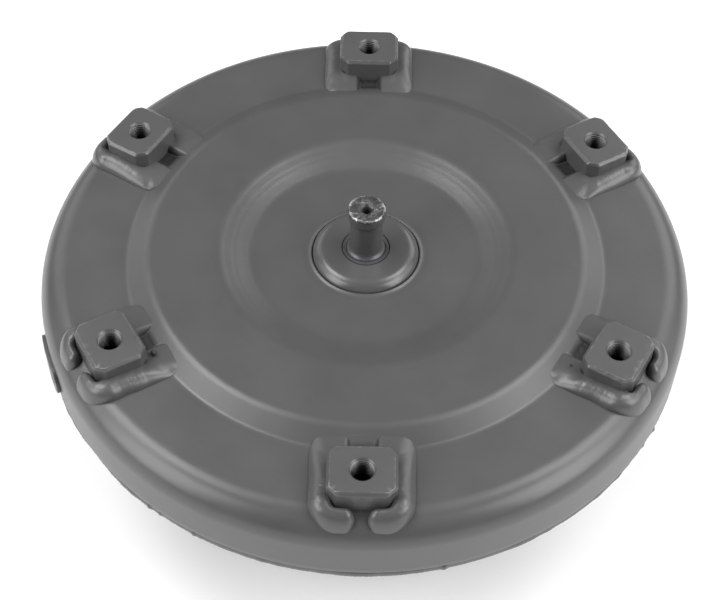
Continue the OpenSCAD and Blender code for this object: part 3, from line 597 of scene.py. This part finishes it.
def build_pad(index):
    """Square block with cut corners and a chamfered top, down to the mouth of its tapped hole."""
    n = 240
    chamfer, cut = 1.3, 4.5
    seed = 40 + index
    loops, wear_and_shade = [], []

    def add(inset, z, w):
        loop = pad_loop(PAD_HALF_L - inset, PAD_HALF_W - inset, cut - inset * 1.35, n)
        loops.append(np.column_stack([loop, np.full(n, z)]))
        wear_and_shade.append(np.full(n, w))

    def add_round(r, z, w):
        loops.append(polar(r, a, z))
        wear_and_shade.append(np.full(n, w))

    for z in (RING_Z - 0.4, RING_Z + 2.5, RING_Z + 5, RING_Z + 7.5, RING_Z + 9.5, -chamfer - 0.35):
        add(0, z, 0.0)
    add(0.0, -chamfer - 0.08, 0.2)
    for t, w in ((0.05, 0.2), (0.5, 0.0), (0.93, 0.15), (1.0, 1.0)):
        add(chamfer * t, -chamfer + chamfer * t, w)
    add(chamfer + 0.22, 0.0, 0.4)
    add(chamfer + 0.6, 0.0, 0.0)
    # the top, from the rectangle in to the mouth of the hole
    outer = loops[-1]
    a = np.arctan2(outer[:, 1], outer[:, 0])
    mouth = polar(MOUTH_R, a, 0.0)
    for t in (0.35, 0.7, 0.93):
        loops.append(outer * (1 - t) + mouth * t)
        wear_and_shade.append(np.full(n, 0.0))
    add_round(MOUTH_R, 0.0, 0.0)
    add_round(MOUTH_R - 0.08, -0.08, 0.1)
    add_round(THREAD_R + 0.05, -0.8, 0.1)
    add_round(THREAD_R, THREAD_TOP, 0.0)
    verts = np.concatenate(loops)
    wear_and_shade = np.concatenate(wear_and_shade)
    faces = quads(len(loops), n, wrap_cols=True)
    # dents along the edges and a slightly uneven forged side
    r = np.linalg.norm(verts[:, :2], axis=1, keepdims=True)
    side = (verts[:, 2] < -0.05) & (r[:, 0] > MOUTH_R + 1)
    edge = (wear_and_shade > 0.3) & (r[:, 0] > MOUTH_R + 1)
    # paint is rubbed thin on the outer cut corners, and hardly anywhere else
    at_end = smooth((verts[:, 0] - PAD_HALF_L + 7.5) / 3.5)
    at_cut = at_end * smooth((np.abs(verts[:, 1]) - PAD_HALF_W + 7.0) / 3.0)
    wear_and_shade = wear_and_shade * (0.10 + 0.9 * at_cut) + 0.25 * edge * np.clip(waves(verts, 3.0, seed + 3), 0, 1)
    dents = edge * np.clip(0.06 * waves(verts, 2.6, seed + 7), 0, 0.2)
    push = side * 0.07 * np.abs(waves(verts, 9, seed)) + dents
    verts[:, :2] -= verts[:, :2] / r * push[:, None]
    verts[:, 2] -= edge * np.clip(0.04 * waves(verts, 3.1, seed + 9), 0, 0.12)
    name = "drive_pad_%d" % (index + 1)
    make(name + "_block", place_on_pad(verts, index), faces, PAINT_PAD, "housing", [name],
         wear_and_shade=wear_and_shade, sharp=32)
    build_thread(name + "_thread", index)


# ---------- weld beads ----------


# the pad whose beads lie lower than the others'
LOW_BEADS = 1
# balls of weld spatter by pad: centre and radius
SPATTER = {2: [((-97.1, -68.7, -7.7), 1.5)], 3: [((20.4, -140.3, -9.3), 0.75)],
           4: [((95.5, -70.0, -8.6), 0.5)]}


def soften(values, times):
    """A row of values, each averaged with its neighbours a number of times."""
    for _ in range(times):
        values = np.convolve(np.pad(values, 1, "edge"), [0.25, 0.5, 0.25], "valid")
    return values


def reach_to_box(x, y, nx, ny, box_x, box_y, round_r):
    """How far each point is along its normal from the edge of a rectangle with round corners."""
    near, far = np.full_like(x, 4.0), np.full_like(x, 20.0)
    for _ in range(24):
        mid = (near + far) / 2
        qx = np.maximum(box_x + round_r - (x + nx * mid), 0)
        qy = np.maximum(np.abs(y + ny * mid) - (box_y - round_r), 0)
        outside = np.hypot(qx, qy) > round_r
        near, far = np.where(outside, near, mid), np.where(outside, mid, far)
    return near


def bead_ball(centre, radius, tall, seed):
    """The ball that a bead ends in: a closed shell on the cover."""
    turns = 40
    rho = np.sin(np.linspace(0, math.pi / 2, 12))[1:]
    x = centre[0] + radius * np.outer(rho, np.cos(angles(turns)))
    y = centre[1] + radius * np.outer(rho, np.sin(angles(turns)))
    dome = (np.clip(1 - rho ** 2.3, 0, 1) ** 0.5)[:, None]
    z = cover_height(np.hypot(x + PAD_PITCH_R, y)) + tall * dome
    z[-1] -= 0.5
    top = [[*centre, cover_height(math.hypot(centre[0] + PAD_PITCH_R, centre[1])) + tall]]
    verts = np.concatenate([np.stack([x, y, z], -1).reshape(-1, 3), top])
    verts[:, 2] += 0.03 * waves(verts, 5, seed)
    faces = flipped(quads(len(rho), turns, wrap_cols=True))
    faces += [[j, (j + 1) % turns, len(verts) - 1] for j in range(turns)]
    faces.append([(len(rho) - 1) * turns + j for j in range(turns)][::-1])
    return verts, faces


def bead(index, side, seed):
    """One bead, in two closed shells: a run from the gap at the inner edge, which fills the groove
    between pad and brow, round the corner and along the side; and the ball it ends in at the outer
    edge. side is 1 or -1, across the pad."""
    rng = np.random.default_rng(seed)
    gap_out = 3.0 + rng.uniform(-0.4, 0.4)
    gap_in = 4.7 + rng.uniform(-0.5, 0.7)
    ball_w = 8.3 + rng.uniform(-0.3, 0.3)
    half_l, half_w, corner = PAD_HALF_L, PAD_HALF_W, 4.6
    path = joined(line([-half_l, gap_in], [-half_l, half_w - corner], 16),
                  arc(-half_l + corner, half_w - corner, corner, 180, 90, 17),
                  line([-half_l + corner, half_w], [half_l - corner, half_w], 34),
                  arc(half_l - corner, half_w - corner, corner, 90, 0, 17),
                  line([half_l, half_w - corner], [half_l, gap_out + ball_w / 2], 12))
    d = np.concatenate([[0], np.cumsum(np.linalg.norm(np.diff(path, axis=0), axis=1))])
    total = d[-1]
    blunt = 3.5
    s = np.concatenate([blunt * (1 - np.cos(np.linspace(0, math.pi / 2, 16)))[:-1],
                        np.linspace(blunt, total, 175)])
    x, y = np.interp(s, d, path[:, 0]), np.interp(s, d, path[:, 1])
    tx, ty = np.gradient(x, s), np.gradient(y, s)
    norm = np.hypot(tx, ty)
    nx, ny = soften(-ty / norm, 6), soften(tx / norm, 6)
    # width and height along the bead
    vary = rng.uniform(-0.25, 0.25, 4)
    side_w = 8.0 + vary[0]
    wide = np.interp(s, [0, 31, total - 4, total], [side_w, side_w, ball_w, ball_w])
    to_box = reach_to_box(x, y, nx, ny, -half_l - 11.2 + vary[1], half_w + side_w, 5.5)
    wide = soften(np.where(s < 24, to_box, wide), 8)
    stops = [0, 4, 8, 12, 15, 22, 31, total - 4, total]
    tall = np.interp(s, stops, [3.4, 3.6, 4.0, 4.6, 5.2, 6.0, 6.6, 6.6, 6.2])
    if index == LOW_BEADS:
        tall = np.minimum(tall, 4.3)
    tall = soften(tall, 8)
    lump = np.column_stack([s, np.zeros_like(s), np.full_like(s, side * 5.0)])
    calm = smooth((total - s) / 4)
    close = np.clip(1 - np.clip(1 - s / 3.4, 0, 1) ** 2.4, 0, 1) ** (1 / 2.4)
    close = np.maximum(close, 0.03)
    wide = wide * (1 + calm * (0.02 * waves(lump, 17, seed + 1))) * close
    tall = tall * (1 + calm * (0.018 * waves(lump, 17, seed + 3))) * close
    # section: a fillet against the pad, which rounds off into a free lobe towards the ball
    across = 23
    t = (1 - np.cos(np.linspace(0, math.pi, across))) / 2
    fillet = np.clip(1 - t ** 2.3, 0, 1) ** (1 / 1.9)
    pillow = np.clip(1 - np.abs(2 * t - 1) ** 2.3, 0, 1) ** 0.5
    # at the corner the lobe still leans on the pad, and only its end stands free
    keep = 0.85 * (1 - smooth((s - (total - 8)) / 5))[:, None] * (t < 0.5)
    lobe = pillow + (1 - pillow) * keep
    round_off = smooth((s - (total - 15)) / 10)[:, None]
    shape = fillet * (1 - round_off) + lobe * round_off
    px = x[:, None] + nx[:, None] * wide[:, None] * t
    py = y[:, None] + ny[:, None] * wide[:, None] * t
    base = cover_height(np.hypot(px + PAD_PITCH_R, py))
    phase = 2 * math.pi * s[:, None] / 2.1 + 2.5 * waves(lump, 7, seed + 8)[:, None] + 3.2 * t
    ripple = 0.016 * np.sin(phase) * np.sin(math.pi * t)
    rise = tall[:, None] * shape
    # the inner end fills the groove to a level that runs down from the pad to the brow
    level = base[:, :1] + tall[:, None] + (base[:, -1:] - base[:, :1] - tall[:, None]) * t ** 1.5
    inner = smooth((12.5 - s) / 4.5)[:, None]
    rise = rise * (1 - inner) + np.maximum(level - base, 0) * close[:, None] ** 0.5 * inner
    pz = base + rise + ripple * calm[:, None] * (1 - 0.7 * inner)
    pz[:, -1] -= 0.5
    # the bead reaches a little into the pad and below the cover, so nothing shows a gap
    root_x, root_y = x - nx * 0.8, y - ny * 0.8
    below = cover_height(np.hypot(root_x + PAD_PITCH_R, root_y)) - 0.6
    top_row = np.stack([root_x, root_y, np.maximum(pz[:, 0] - 0.1, below + 0.05)], -1)
    low_row = np.stack([root_x, root_y, below], -1)
    grid = np.concatenate([top_row[:, None], np.stack([px, py, pz], -1), low_row[:, None]], 1)
    rows, cols = grid.shape[:2]
    verts = grid.reshape(-1, 3).copy()
    rough = 0.02 * waves(verts, 5, seed + 5) + 0.012 * waves(verts, 2.0, seed + 6)
    verts[:, 2] += rough * np.tile(np.concatenate([[0], np.ones(across - 1), [0, 0]]), rows)
    faces = quads(rows, cols, wrap_cols=True)
    faces.append(list(range(cols - 1, -1, -1)))
    faces.append([(rows - 1) * cols + j for j in range(cols)])
    half = wide[-1] / 2
    end = (x[-1] + nx[-1] * half, y[-1] + ny[-1] * half)
    verts, faces = merge([(verts, faces), bead_ball(end, half, tall[-1], seed + 5)])
    if side < 0:
        verts[:, 1] *= -1
        faces = flipped(faces)
    return verts, faces, gap_in


def shade_sheet(y0, y1):
    """Floor and low walls of a thin slab in the gap between the inner ends of two beads, which carries the
    painted shade of that gap.
    """
    rows, cols = 24, 24
    u = np.linspace(-PAD_HALF_L + 0.3, -PAD_HALF_L - 9.6, rows)
    v = np.linspace(y0 - 0.4, y1 + 0.4, cols)
    uu, vv = np.meshgrid(u, v, indexing="ij")
    base = cover_height(np.hypot(uu + PAD_PITCH_R, vv))
    edge = smooth(np.minimum(np.minimum(uu - u[-1], 3.0), np.minimum(vv - v[0], v[-1] - vv)) / 0.8)
    top = np.stack([uu, vv, base + 0.12 * edge + 0.02], -1).reshape(-1, 3)
    bottom = np.stack([uu, vv, base - 0.5], -1).reshape(-1, 3)
    return np.concatenate([top, bottom]), slab_faces(rows, cols)


def drop(centre, radius):
    """A small ball of weld spatter."""
    lat = np.linspace(-math.pi / 2, math.pi / 2, 10)
    outline = np.stack([radius * np.cos(lat), centre[2] + radius * np.sin(lat)], 1)
    verts, faces = spin_solid(outline, 16)
    return verts + [centre[0], centre[1], 0], faces


def build_welds(index):
    """Both beads of a pad, a slab painted with the shade of the gap between their inner ends, and the
    spatter near them.
    """
    seed = 100 + 10 * index
    (v0, f0, gap0), (v1, f1, gap1) = bead(index, 1, seed + 3), bead(index, -1, seed)
    gap_sheet = shade_sheet(-gap1, gap0)
    beads = len(v0) + len(v1)
    verts, faces = merge([(v0, f0), (v1, f1), gap_sheet])
    x = verts[:, 0]
    # painted shade: the slab in the gap is darkest against the pad, and the beads' square inner ends beside
    # the gap are painted dark too
    inward = -PAD_HALF_L - x
    deep = 0.32 + 0.6 * smooth((8.6 - inward) / 2.5)
    past = np.abs(verts[:, 1] - (gap0 - gap1) / 2) - (gap0 + gap1) / 2
    painted_shade = deep * smooth((0.3 - past) / 1.2)
    painted_shade[:beads] = 0.75 * (smooth((2.8 - past) / 1.4) * (inward > -1))[:beads]
    verts = place_on_pad(verts, index)
    drops = [drop(c, r) for c, r in SPATTER.get(index, ())]
    verts, faces = merge([(verts, faces)] + drops)
    # painted shade: the spatter balls are painted near-black, for the dark of the small pits they stand for
    painted_shade = np.append(painted_shade, np.full(len(verts) - len(painted_shade), 0.75))
    name = "pad_weld_%d" % (index + 1)
    make(name + "_beads", verts, faces, PAINT_WELD, "housing", [name], sharp=60, wear_and_shade=painted_shade)


# ---------- weight, closing weld and the transmission side ----------


def build_weight():
    """Curved plate with round corners, held by two plug welds that leave dimples."""
    lo, hi = low("balance_weight"), high("balance_weight")
    z0, z1 = float(lo[2]), float(hi[2])
    az0, az1 = WEIGHT_AZ
    mid_r = BODY_R + 0.9
    half_l = mid_r * math.radians((az1 - az0) / 2)
    half_h = (z1 - z0) / 2
    corner = 6.5
    rows, cols = 97, 49
    u = half_l * np.sin(np.linspace(-1, 1, rows) * math.pi / 2 * 0.93) / math.sin(math.pi / 2 * 0.93)
    past = np.maximum(np.abs(u) - (half_l - corner), 0)
    tall = half_h - (corner - np.sqrt(np.maximum(corner ** 2 - past ** 2, 0)))
    v = np.sin(np.linspace(-1, 1, cols) * math.pi / 2 * 0.9) / math.sin(math.pi / 2 * 0.9)
    uu = np.repeat(u[:, None], cols, 1)
    vv = tall[:, None] * v
    qx = np.abs(uu) - (half_l - corner)
    qy = np.abs(vv) - (half_h - corner)
    depth = corner - np.hypot(np.maximum(qx, 0), np.maximum(qy, 0)) - np.minimum(np.maximum(qx, qy), 0)
    near_edge = np.clip(0.45 - depth, 0, 0.45)
    face = BODY_R + 1.78 - (0.45 - np.sqrt(0.45 ** 2 - near_edge ** 2))
    for a in (-3.5, 3.5):
        away = np.hypot(uu - mid_r * math.radians(a), vv)
        face = face - 1.1 * smooth((2.1 - away) / 0.9) + 0.12 * np.exp(-(((away - 2.4) / 0.35) ** 2))
    az = np.radians((az0 + az1) / 2) + uu / mid_r
    z = (z0 + z1) / 2 + vv
    front = polar(face, az, z).reshape(-1, 3)
    back = polar(BODY_R - 0.3, az, z).reshape(-1, 3)
    faces = flipped(slab_faces(rows, cols))
    # painted shade: the back skin against the skirt, and the plate's rim towards it, are painted dark for
    # the shadow gap along its edge
    painted_shade = np.repeat([0.0, 0.6], rows * cols)
    make("balance_weight_plate", np.concatenate([front, back]), faces, PAINT_SEAM, "housing",
         ["balance_weight"], wear_and_shade=painted_shade, sharp=50)


def ripples(az, r, count, seed):
    """Scale pattern of a weld laid round a seam, -1 to 1."""
    p = polar(r, az, 0.0)
    phase = count * az + 1.6 * waves(p, 60, seed) + 0.8 * waves(p, 22, seed + 1)
    return np.abs(np.sin(phase / 2)) * 2 - 1


def build_closing_weld():
    """Rippled bead round the lower edge of the skirt, with a few lumps that stand out of it."""
    top = float(high("closing_weld")[2])
    bottom = float(low("closing_weld")[2])
    inner = BODY_R - 5.2
    segments, across = 1200, 13
    az = angles(segments)
    t = np.linspace(0, 1, across)
    z = top + 0.1 + (bottom - top - 0.2) * t
    shape = np.clip(1 - np.abs(2 * t - 1) ** 2.6, 0, 1) ** 0.5
    skew = az[:, None] + 0.010 * (2 * t[None] - 1) ** 2
    seam = polar(BODY_R, az, 0.0)
    swell = 0.18 * waves(seam, 40, 61) + 0.10 * waves(seam, 9, 62)
    r = BODY_R - 1.5 + (1.0 + swell[:, None]) * shape + 0.11 * ripples(skew, BODY_R, 440, 63) * shape
    for a, size, width in WELD_BUMPS:
        off = (np.degrees(az) - a + 180) % 360 - 180
        lump = np.exp(-((np.radians(off) * BODY_R / width) ** 2))[:, None]
        r = r + size * lump * shape
    r = np.minimum(r, BODY_R + 0.9)
    limit = BODY_R - 0.02
    grid = polar(r, az[:, None], z)
    grid[..., :2] = np.clip(grid[..., :2], -limit, limit)
    close = np.stack([polar(inner, az, zz) for zz in (z[-1], z[0])], 1)
    verts = np.concatenate([grid, close], 1)
    cols = verts.shape[1]
    faces = flipped(quads(segments, cols, wrap_rows=True, wrap_cols=True))
    # painted shade: the bead's toes, where it meets the skirt, are painted near-black
    edge = np.concatenate([smooth((np.abs(2 * t - 1) - 0.72) / 0.25), [1, 1]])
    make("closing_weld_bead", verts.reshape(-1, 3), faces, PAINT_SEAM, "housing",
         ["closing_weld"], wear_and_shade=np.tile(edge * 0.8, segments), sharp=60)


def build_hub_weld():
    """Fillet between the impeller shell's flange and the pump hub, with the ripples of a turned weld."""
    box_lo, box_hi = low("hub_weld"), high("hub_weld")
    outer, z0, z1 = float(box_hi[0]), float(box_lo[2]), float(box_hi[2])
    leg = z1 - z0
    corner_r = outer - leg
    segments, across = 720, 13
    az = angles(segments)
    a = np.radians(np.linspace(0, -90, across))
    bulge = 0.93 + 0.05 * ripples(az[:, None] + 0.012 * np.sin(2 * a)[None], corner_r, 150, 71)
    r = corner_r + leg * bulge * np.cos(a)
    z = z1 + leg * bulge * np.sin(a)
    r[:, -1], z[:, 0] = corner_r, z1
    root = [polar(corner_r - 0.4, az, zz) for zz in (z0 + leg * 0.05, z1 + 0.4)]
    verts = np.concatenate([polar(r, az[:, None], z), np.stack(root, 1)], 1)
    faces = flipped(quads(segments, verts.shape[1], wrap_rows=True, wrap_cols=True))
    make("hub_weld_bead", verts.reshape(-1, 3), faces, PAINT_WELD, "housing", ["hub_weld"],
         sharp=60)


def build_tab_marks():
    """Shallow bumps left on the back of the impeller shell where the blades' tabs seat."""
    half_length, half_width, height = 4.2, 1.5, 0.55
    rings, around = 6, 16
    last = (rings - 1) * around
    centre = np.array([TORUS_R, TORUS_Z])
    parts = []
    for angle, shift in ((-38.0, 0.0), (-118.0, 0.35)):
        a = math.radians(angle)
        out = np.array([math.cos(a), math.sin(a)])
        point = centre + BACK_R * out
        along = np.array([-out[1], out[0]])
        for k in range(BLADES):
            la, lo = np.meshgrid(np.linspace(0, math.pi / 2, rings), angles(around), indexing="ij")
            du = half_length * np.cos(la) * np.cos(lo)
            dv = half_width * np.cos(la) * np.sin(lo)
            dn = np.where(la == 0, -0.5, height * np.sin(la))
            r = point[0] + along[0] * du + out[0] * (dn - du ** 2 / (2 * BACK_R))
            z = point[1] + along[1] * du + out[1] * (dn - du ** 2 / (2 * BACK_R))
            verts = np.stack([r, dv, z], -1).reshape(-1, 3)
            faces = quads(rings - 1, around, wrap_cols=True)
            top = last - around
            faces += [[top + j, top + (j + 1) % around, last] for j in range(around)]
            faces.append(list(range(around - 1, -1, -1)))
            verts = np.concatenate([verts[:last], verts[-1:]])
            parts.append((turn(verts, 360 / BLADES * (k + shift)), faces))
    verts, faces = merge(parts)
    make("impeller_tab_marks", verts, faces, PAINT, "housing")


def build_springs():
    """Coil springs of the damper: closed ends, straight between the ends of their windows."""
    count = 6
    wire, coil_r, turns, length = 1.4, 5.1, 9.0, 46.0
    path_r = 106.0
    mid_z = float((low("damper_springs")[2] + high("damper_springs")[2]) / 2)
    steps, sides = 216, 10
    t = np.linspace(0, 1, steps + 1)
    # the pitch is closed at each end
    rate = 0.32 + 0.68 * smooth(np.minimum(t, 1 - t) / 0.16)
    rise = np.concatenate([[0], np.cumsum((rate[1:] + rate[:-1]) / 2)])
    along = (rise / rise[-1] - 0.5) * (length - 2 * wire)
    angle = 2 * math.pi * turns * t
    centre = np.stack([coil_r * np.cos(angle), along, coil_r * np.sin(angle)], 1)
    tangent = np.gradient(centre, axis=0)
    tangent /= np.linalg.norm(tangent, axis=1, keepdims=True)
    radial = np.stack([np.cos(angle), np.zeros_like(angle), np.sin(angle)], 1)
    side = np.cross(tangent, radial)
    a = angles(sides)
    around = radial[:, None] * np.cos(a)[None, :, None] + side[:, None] * np.sin(a)[None, :, None]
    faces = quads(steps + 1, sides, wrap_cols=True)
    faces += [list(range(sides - 1, -1, -1)), [steps * sides + j for j in range(sides)]]
    placed = (centre[:, None] + wire * around).reshape(-1, 3) + [path_r, 0, mid_z]
    verts, faces = merge([(turn(placed, 360 / count * k), faces) for k in range(count)])
    make("damper_coils", verts, faces, FINISH["spring_steel"], "damper_cage",
         ["damper_springs"], sharp=70)


# ---------- materials of the inside ----------


def lathe_steel(name, color, rough, stain=0.1, pitch=0.00045):
    """Turned metal: fine circular feed marks round the axis, and slight staining."""
    n = Nodes(name)
    parts = n.add("ShaderNodeSeparateXYZ")
    n.link(n.coord, parts.inputs[0])
    x, y, z = parts.outputs
    squares = n.math("ADD", n.math("MULTIPLY", x, x), n.math("MULTIPLY", y, y))
    join = n.add("ShaderNodeCombineXYZ")
    n.link(n.math("SQRT", squares, 0.0), join.inputs[0])
    n.link(z, join.inputs[1])
    marks = n.noise(1 / pitch, 3, 0.6, join.outputs[0])
    blotch = n.noise(35, 5, 0.6)
    base = n.ramp(blotch, [(0.3, tuple(c * (1 - stain) for c in color)), (0.7, color)])
    base = n.mix(0.3, base, n.ramp(marks, [(0.3, 0.7), (0.7, 1.0)]), "MULTIPLY")
    return n.set(Base_Color=base, Metallic=1.0,
                 Roughness=n.span(marks, 0.25, 0.75, rough - 0.05, rough + 0.08),
                 Normal=n.bump(marks, 0.00004, 0.6))


def friction_paper():
    """Brown fibrous lining, slightly glazed with oil."""
    n = Nodes("friction_paper")
    fibre = n.noise(900, 4, 0.7, n.mapped((1, 1, 2.5)), distortion=1.2)
    color = n.ramp(fibre, [(0.3, (0.10, 0.055, 0.028)), (0.5, (0.20, 0.12, 0.06)),
                           (0.7, (0.31, 0.20, 0.11))])
    return n.set(Base_Color=color, Roughness=n.span(fibre, 0.3, 0.7, 0.55, 0.8),
                 Normal=n.bump(fibre, 0.00015, 0.6))


def seal_rubber():
    """Black oil seal with a fine moulded skin."""
    n = Nodes("seal_rubber")
    skin = n.noise(1500, 3, 0.6)
    color = n.ramp(n.noise(60, 3), [(0.3, (0.012, 0.012, 0.011)), (0.7, (0.022, 0.021, 0.020))])
    return n.set(Base_Color=color, Roughness=n.span(skin, 0.3, 0.7, 0.42, 0.6),
                 Normal=n.bump(skin, 0.00004, 0.5))


def cast_aluminium():
    """Die-cast aluminium: a fine pebbled skin with faint flow marks."""
    n = Nodes("cast_aluminium")
    grain = n.noise(650, 4, 0.6)
    flow = n.noise(18, 4, 0.6, distortion=2.0)
    color = n.ramp(flow, [(0.3, (0.50, 0.50, 0.51)), (0.7, (0.63, 0.63, 0.64))])
    color = n.mix(0.3, color, n.ramp(grain, [(0.3, 0.7), (0.6, 1.0)]), "MULTIPLY")
    return n.set(Base_Color=color, Metallic=0.95, Roughness=n.span(grain, 0.3, 0.7, 0.36, 0.52),
                 Normal=n.bump(grain, 0.00009, 0.7))


def tempered_steel():
    """Spring steel with a thin blue-brown temper skin and drawing marks."""
    n = Nodes("spring_steel")
    tint = n.noise(55, 3, 0.5)
    color = n.ramp(tint, [(0.3, (0.13, 0.15, 0.20)), (0.55, (0.20, 0.20, 0.22)),
                          (0.75, (0.25, 0.21, 0.17))])
    fine = n.noise(1100, 3, 0.6)
    return n.set(Base_Color=color, Metallic=0.95, Roughness=n.span(fine, 0.3, 0.7, 0.26, 0.4),
                 Normal=n.bump(fine, 0.00003, 0.5))


# materials of the CAD nodes by slot
FINISH = {
    "painted_shell": PAINT,
    "pressed_steel": steel("pressed_steel", (0.42, 0.42, 0.43), 0.36, brush=(1, 1, 3), stain=0.2),
    "turbine_steel": steel("turbine_steel", (0.47, 0.45, 0.42), 0.34, brush=(1, 1, 3), stain=0.25),
    "machined_steel": lathe_steel("machined_steel", (0.52, 0.52, 0.53), 0.26),
    "bronze": lathe_steel("thrust_bronze", (0.58, 0.40, 0.19), 0.32, 0.2),
    "rivet_steel": steel("rivet_steel", (0.38, 0.38, 0.39), 0.38, stain=0.25),
    "plate_steel": steel("plate_steel", (0.38, 0.38, 0.39), 0.4, brush=(1, 5, 1), stain=0.2),
    "seal_rubber": seal_rubber(),
    "spring_steel": tempered_steel(),
    "piston_steel": lathe_steel("piston_steel", (0.42, 0.42, 0.43), 0.34, 0.2, 0.0009),
    "friction_paper": friction_paper(),
    "cast_aluminium": cast_aluminium(),
    "hardened_steel": lathe_steel("hardened_steel", (0.55, 0.55, 0.57), 0.2, 0.06, 0.0003),
    "bearing_steel": lathe_steel("bearing_steel", (0.66, 0.66, 0.68), 0.14, 0.04, 0.0002),
    "bearing_cage": steel("bearing_brass", (0.56, 0.40, 0.18), 0.3, stain=0.2),
}


build_cover()
build_boss()
build_pilot()
for i in range(len(PAD_ANGLES)):
    build_pad(i)
    build_welds(i)
build_weight()
build_closing_weld()
build_hub_weld()
build_tab_marks()
build_springs()


# ---------- CAD nodes that stay ----------

SLOTS = {part["node"]: part["material_slot"] for part in frame["record"]["subparts"]}
for node, obj in frame["nodes"].items():
    if SLOTS[node] in FINISH:
        obj.data.materials.clear()
        obj.data.materials.append(FINISH[SLOTS[node]])


# ---------- floor, lights and camera ----------


def build_stage():
    floor = Nodes("pale_floor")
    floor.set(Base_Color=(0.9, 0.9, 0.9), Roughness=0.9)
    s = 6.0
    mesh = bpy.data.meshes.new("floor")
    z = (HUB_END - 0.5) * MM
    mesh.from_pydata([(-s, -s, z), (s, -s, z), (s, s, z), (-s, s, z)], [], [(0, 1, 2, 3)])
    mesh.materials.append(floor.mat)
    obj = bpy.data.objects.new("floor", mesh)
    scene.collection.objects.link(obj)


def softbox(name, azimuth, elevation, distance, width, height, power):
    """Area light that looks at the origin from that direction."""
    light = bpy.data.lights.new(name, "AREA")
    light.shape = "RECTANGLE"
    light.size, light.size_y = width, height
    light.energy = power
    obj = bpy.data.objects.new(name, light)
    a, e = math.radians(azimuth), math.radians(elevation)
    d = Vector((math.cos(e) * math.cos(a), math.cos(e) * math.sin(a), math.sin(e)))
    obj.location = d * distance
    obj.rotation_euler = d.to_track_quat("Z", "Y").to_euler()
    scene.collection.objects.link(obj)


def build_lights():
    """On either side a tall soft box in front, one beside it and a smaller one above; two low ones
    behind; and a little even fill."""
    softbox("left_key", 208, 30, 1.6, 0.8, 1.3, 20)
    softbox("left_side", 180, 32, 1.6, 0.8, 1.3, 6)
    softbox("left_top", 160, 61, 1.6, 0.7, 0.6, 13)
    softbox("right_key", 332, 29, 1.6, 0.8, 1.3, 20)
    softbox("right_side", 2, 32, 1.6, 0.8, 1.3, 8)
    softbox("right_top", 20, 61, 1.6, 0.7, 0.6, 10)
    softbox("back_left", 130, 24, 1.7, 1.0, 0.7, 3.5)
    softbox("back_right", 50, 28, 1.7, 1.0, 0.8, 6.5)
    world = bpy.data.worlds.new("studio")
    world.use_nodes = True
    world.node_tree.nodes["Background"].inputs["Color"].default_value = (1, 1, 1, 1)
    world.node_tree.nodes["Background"].inputs["Strength"].default_value = 0.06
    scene.world = world
    scene.view_settings.view_transform = "Standard"


def build_camera():
    """Camera at the photograph's angle: it looks down at the cover from the front."""
    distance, elevation, swing = 0.7613, 48.682, -0.552
    pitch, yaw, roll = (math.radians(v) for v in (2.4087, -0.2119, -1.6620))
    e = math.radians(elevation)
    place = Vector((0, -math.cos(e), math.sin(e))) * distance
    forward = -place.normalized()
    right = Vector((1, 0, 0))
    up = right.cross(forward)
    base = Matrix((right, up, -forward))
    aim = Matrix.Rotation(roll, 3, "Z") @ Matrix.Rotation(yaw, 3, "Y") @ Matrix.Rotation(pitch, 3, "X")
    turned = aim @ base
    around = Matrix.Rotation(math.radians(swing), 3, "Z")
    data = bpy.data.cameras.new("camera")
    data.sensor_width = 36.0
    data.lens = 78.737
    data.clip_start = 0.01
    camera = bpy.data.objects.new("camera", data)
    camera.matrix_world = (around @ turned.transposed()).to_4x4()
    camera.location = around @ place
    scene.collection.objects.link(camera)
    scene.camera = camera


build_stage()
build_lights()
build_camera()
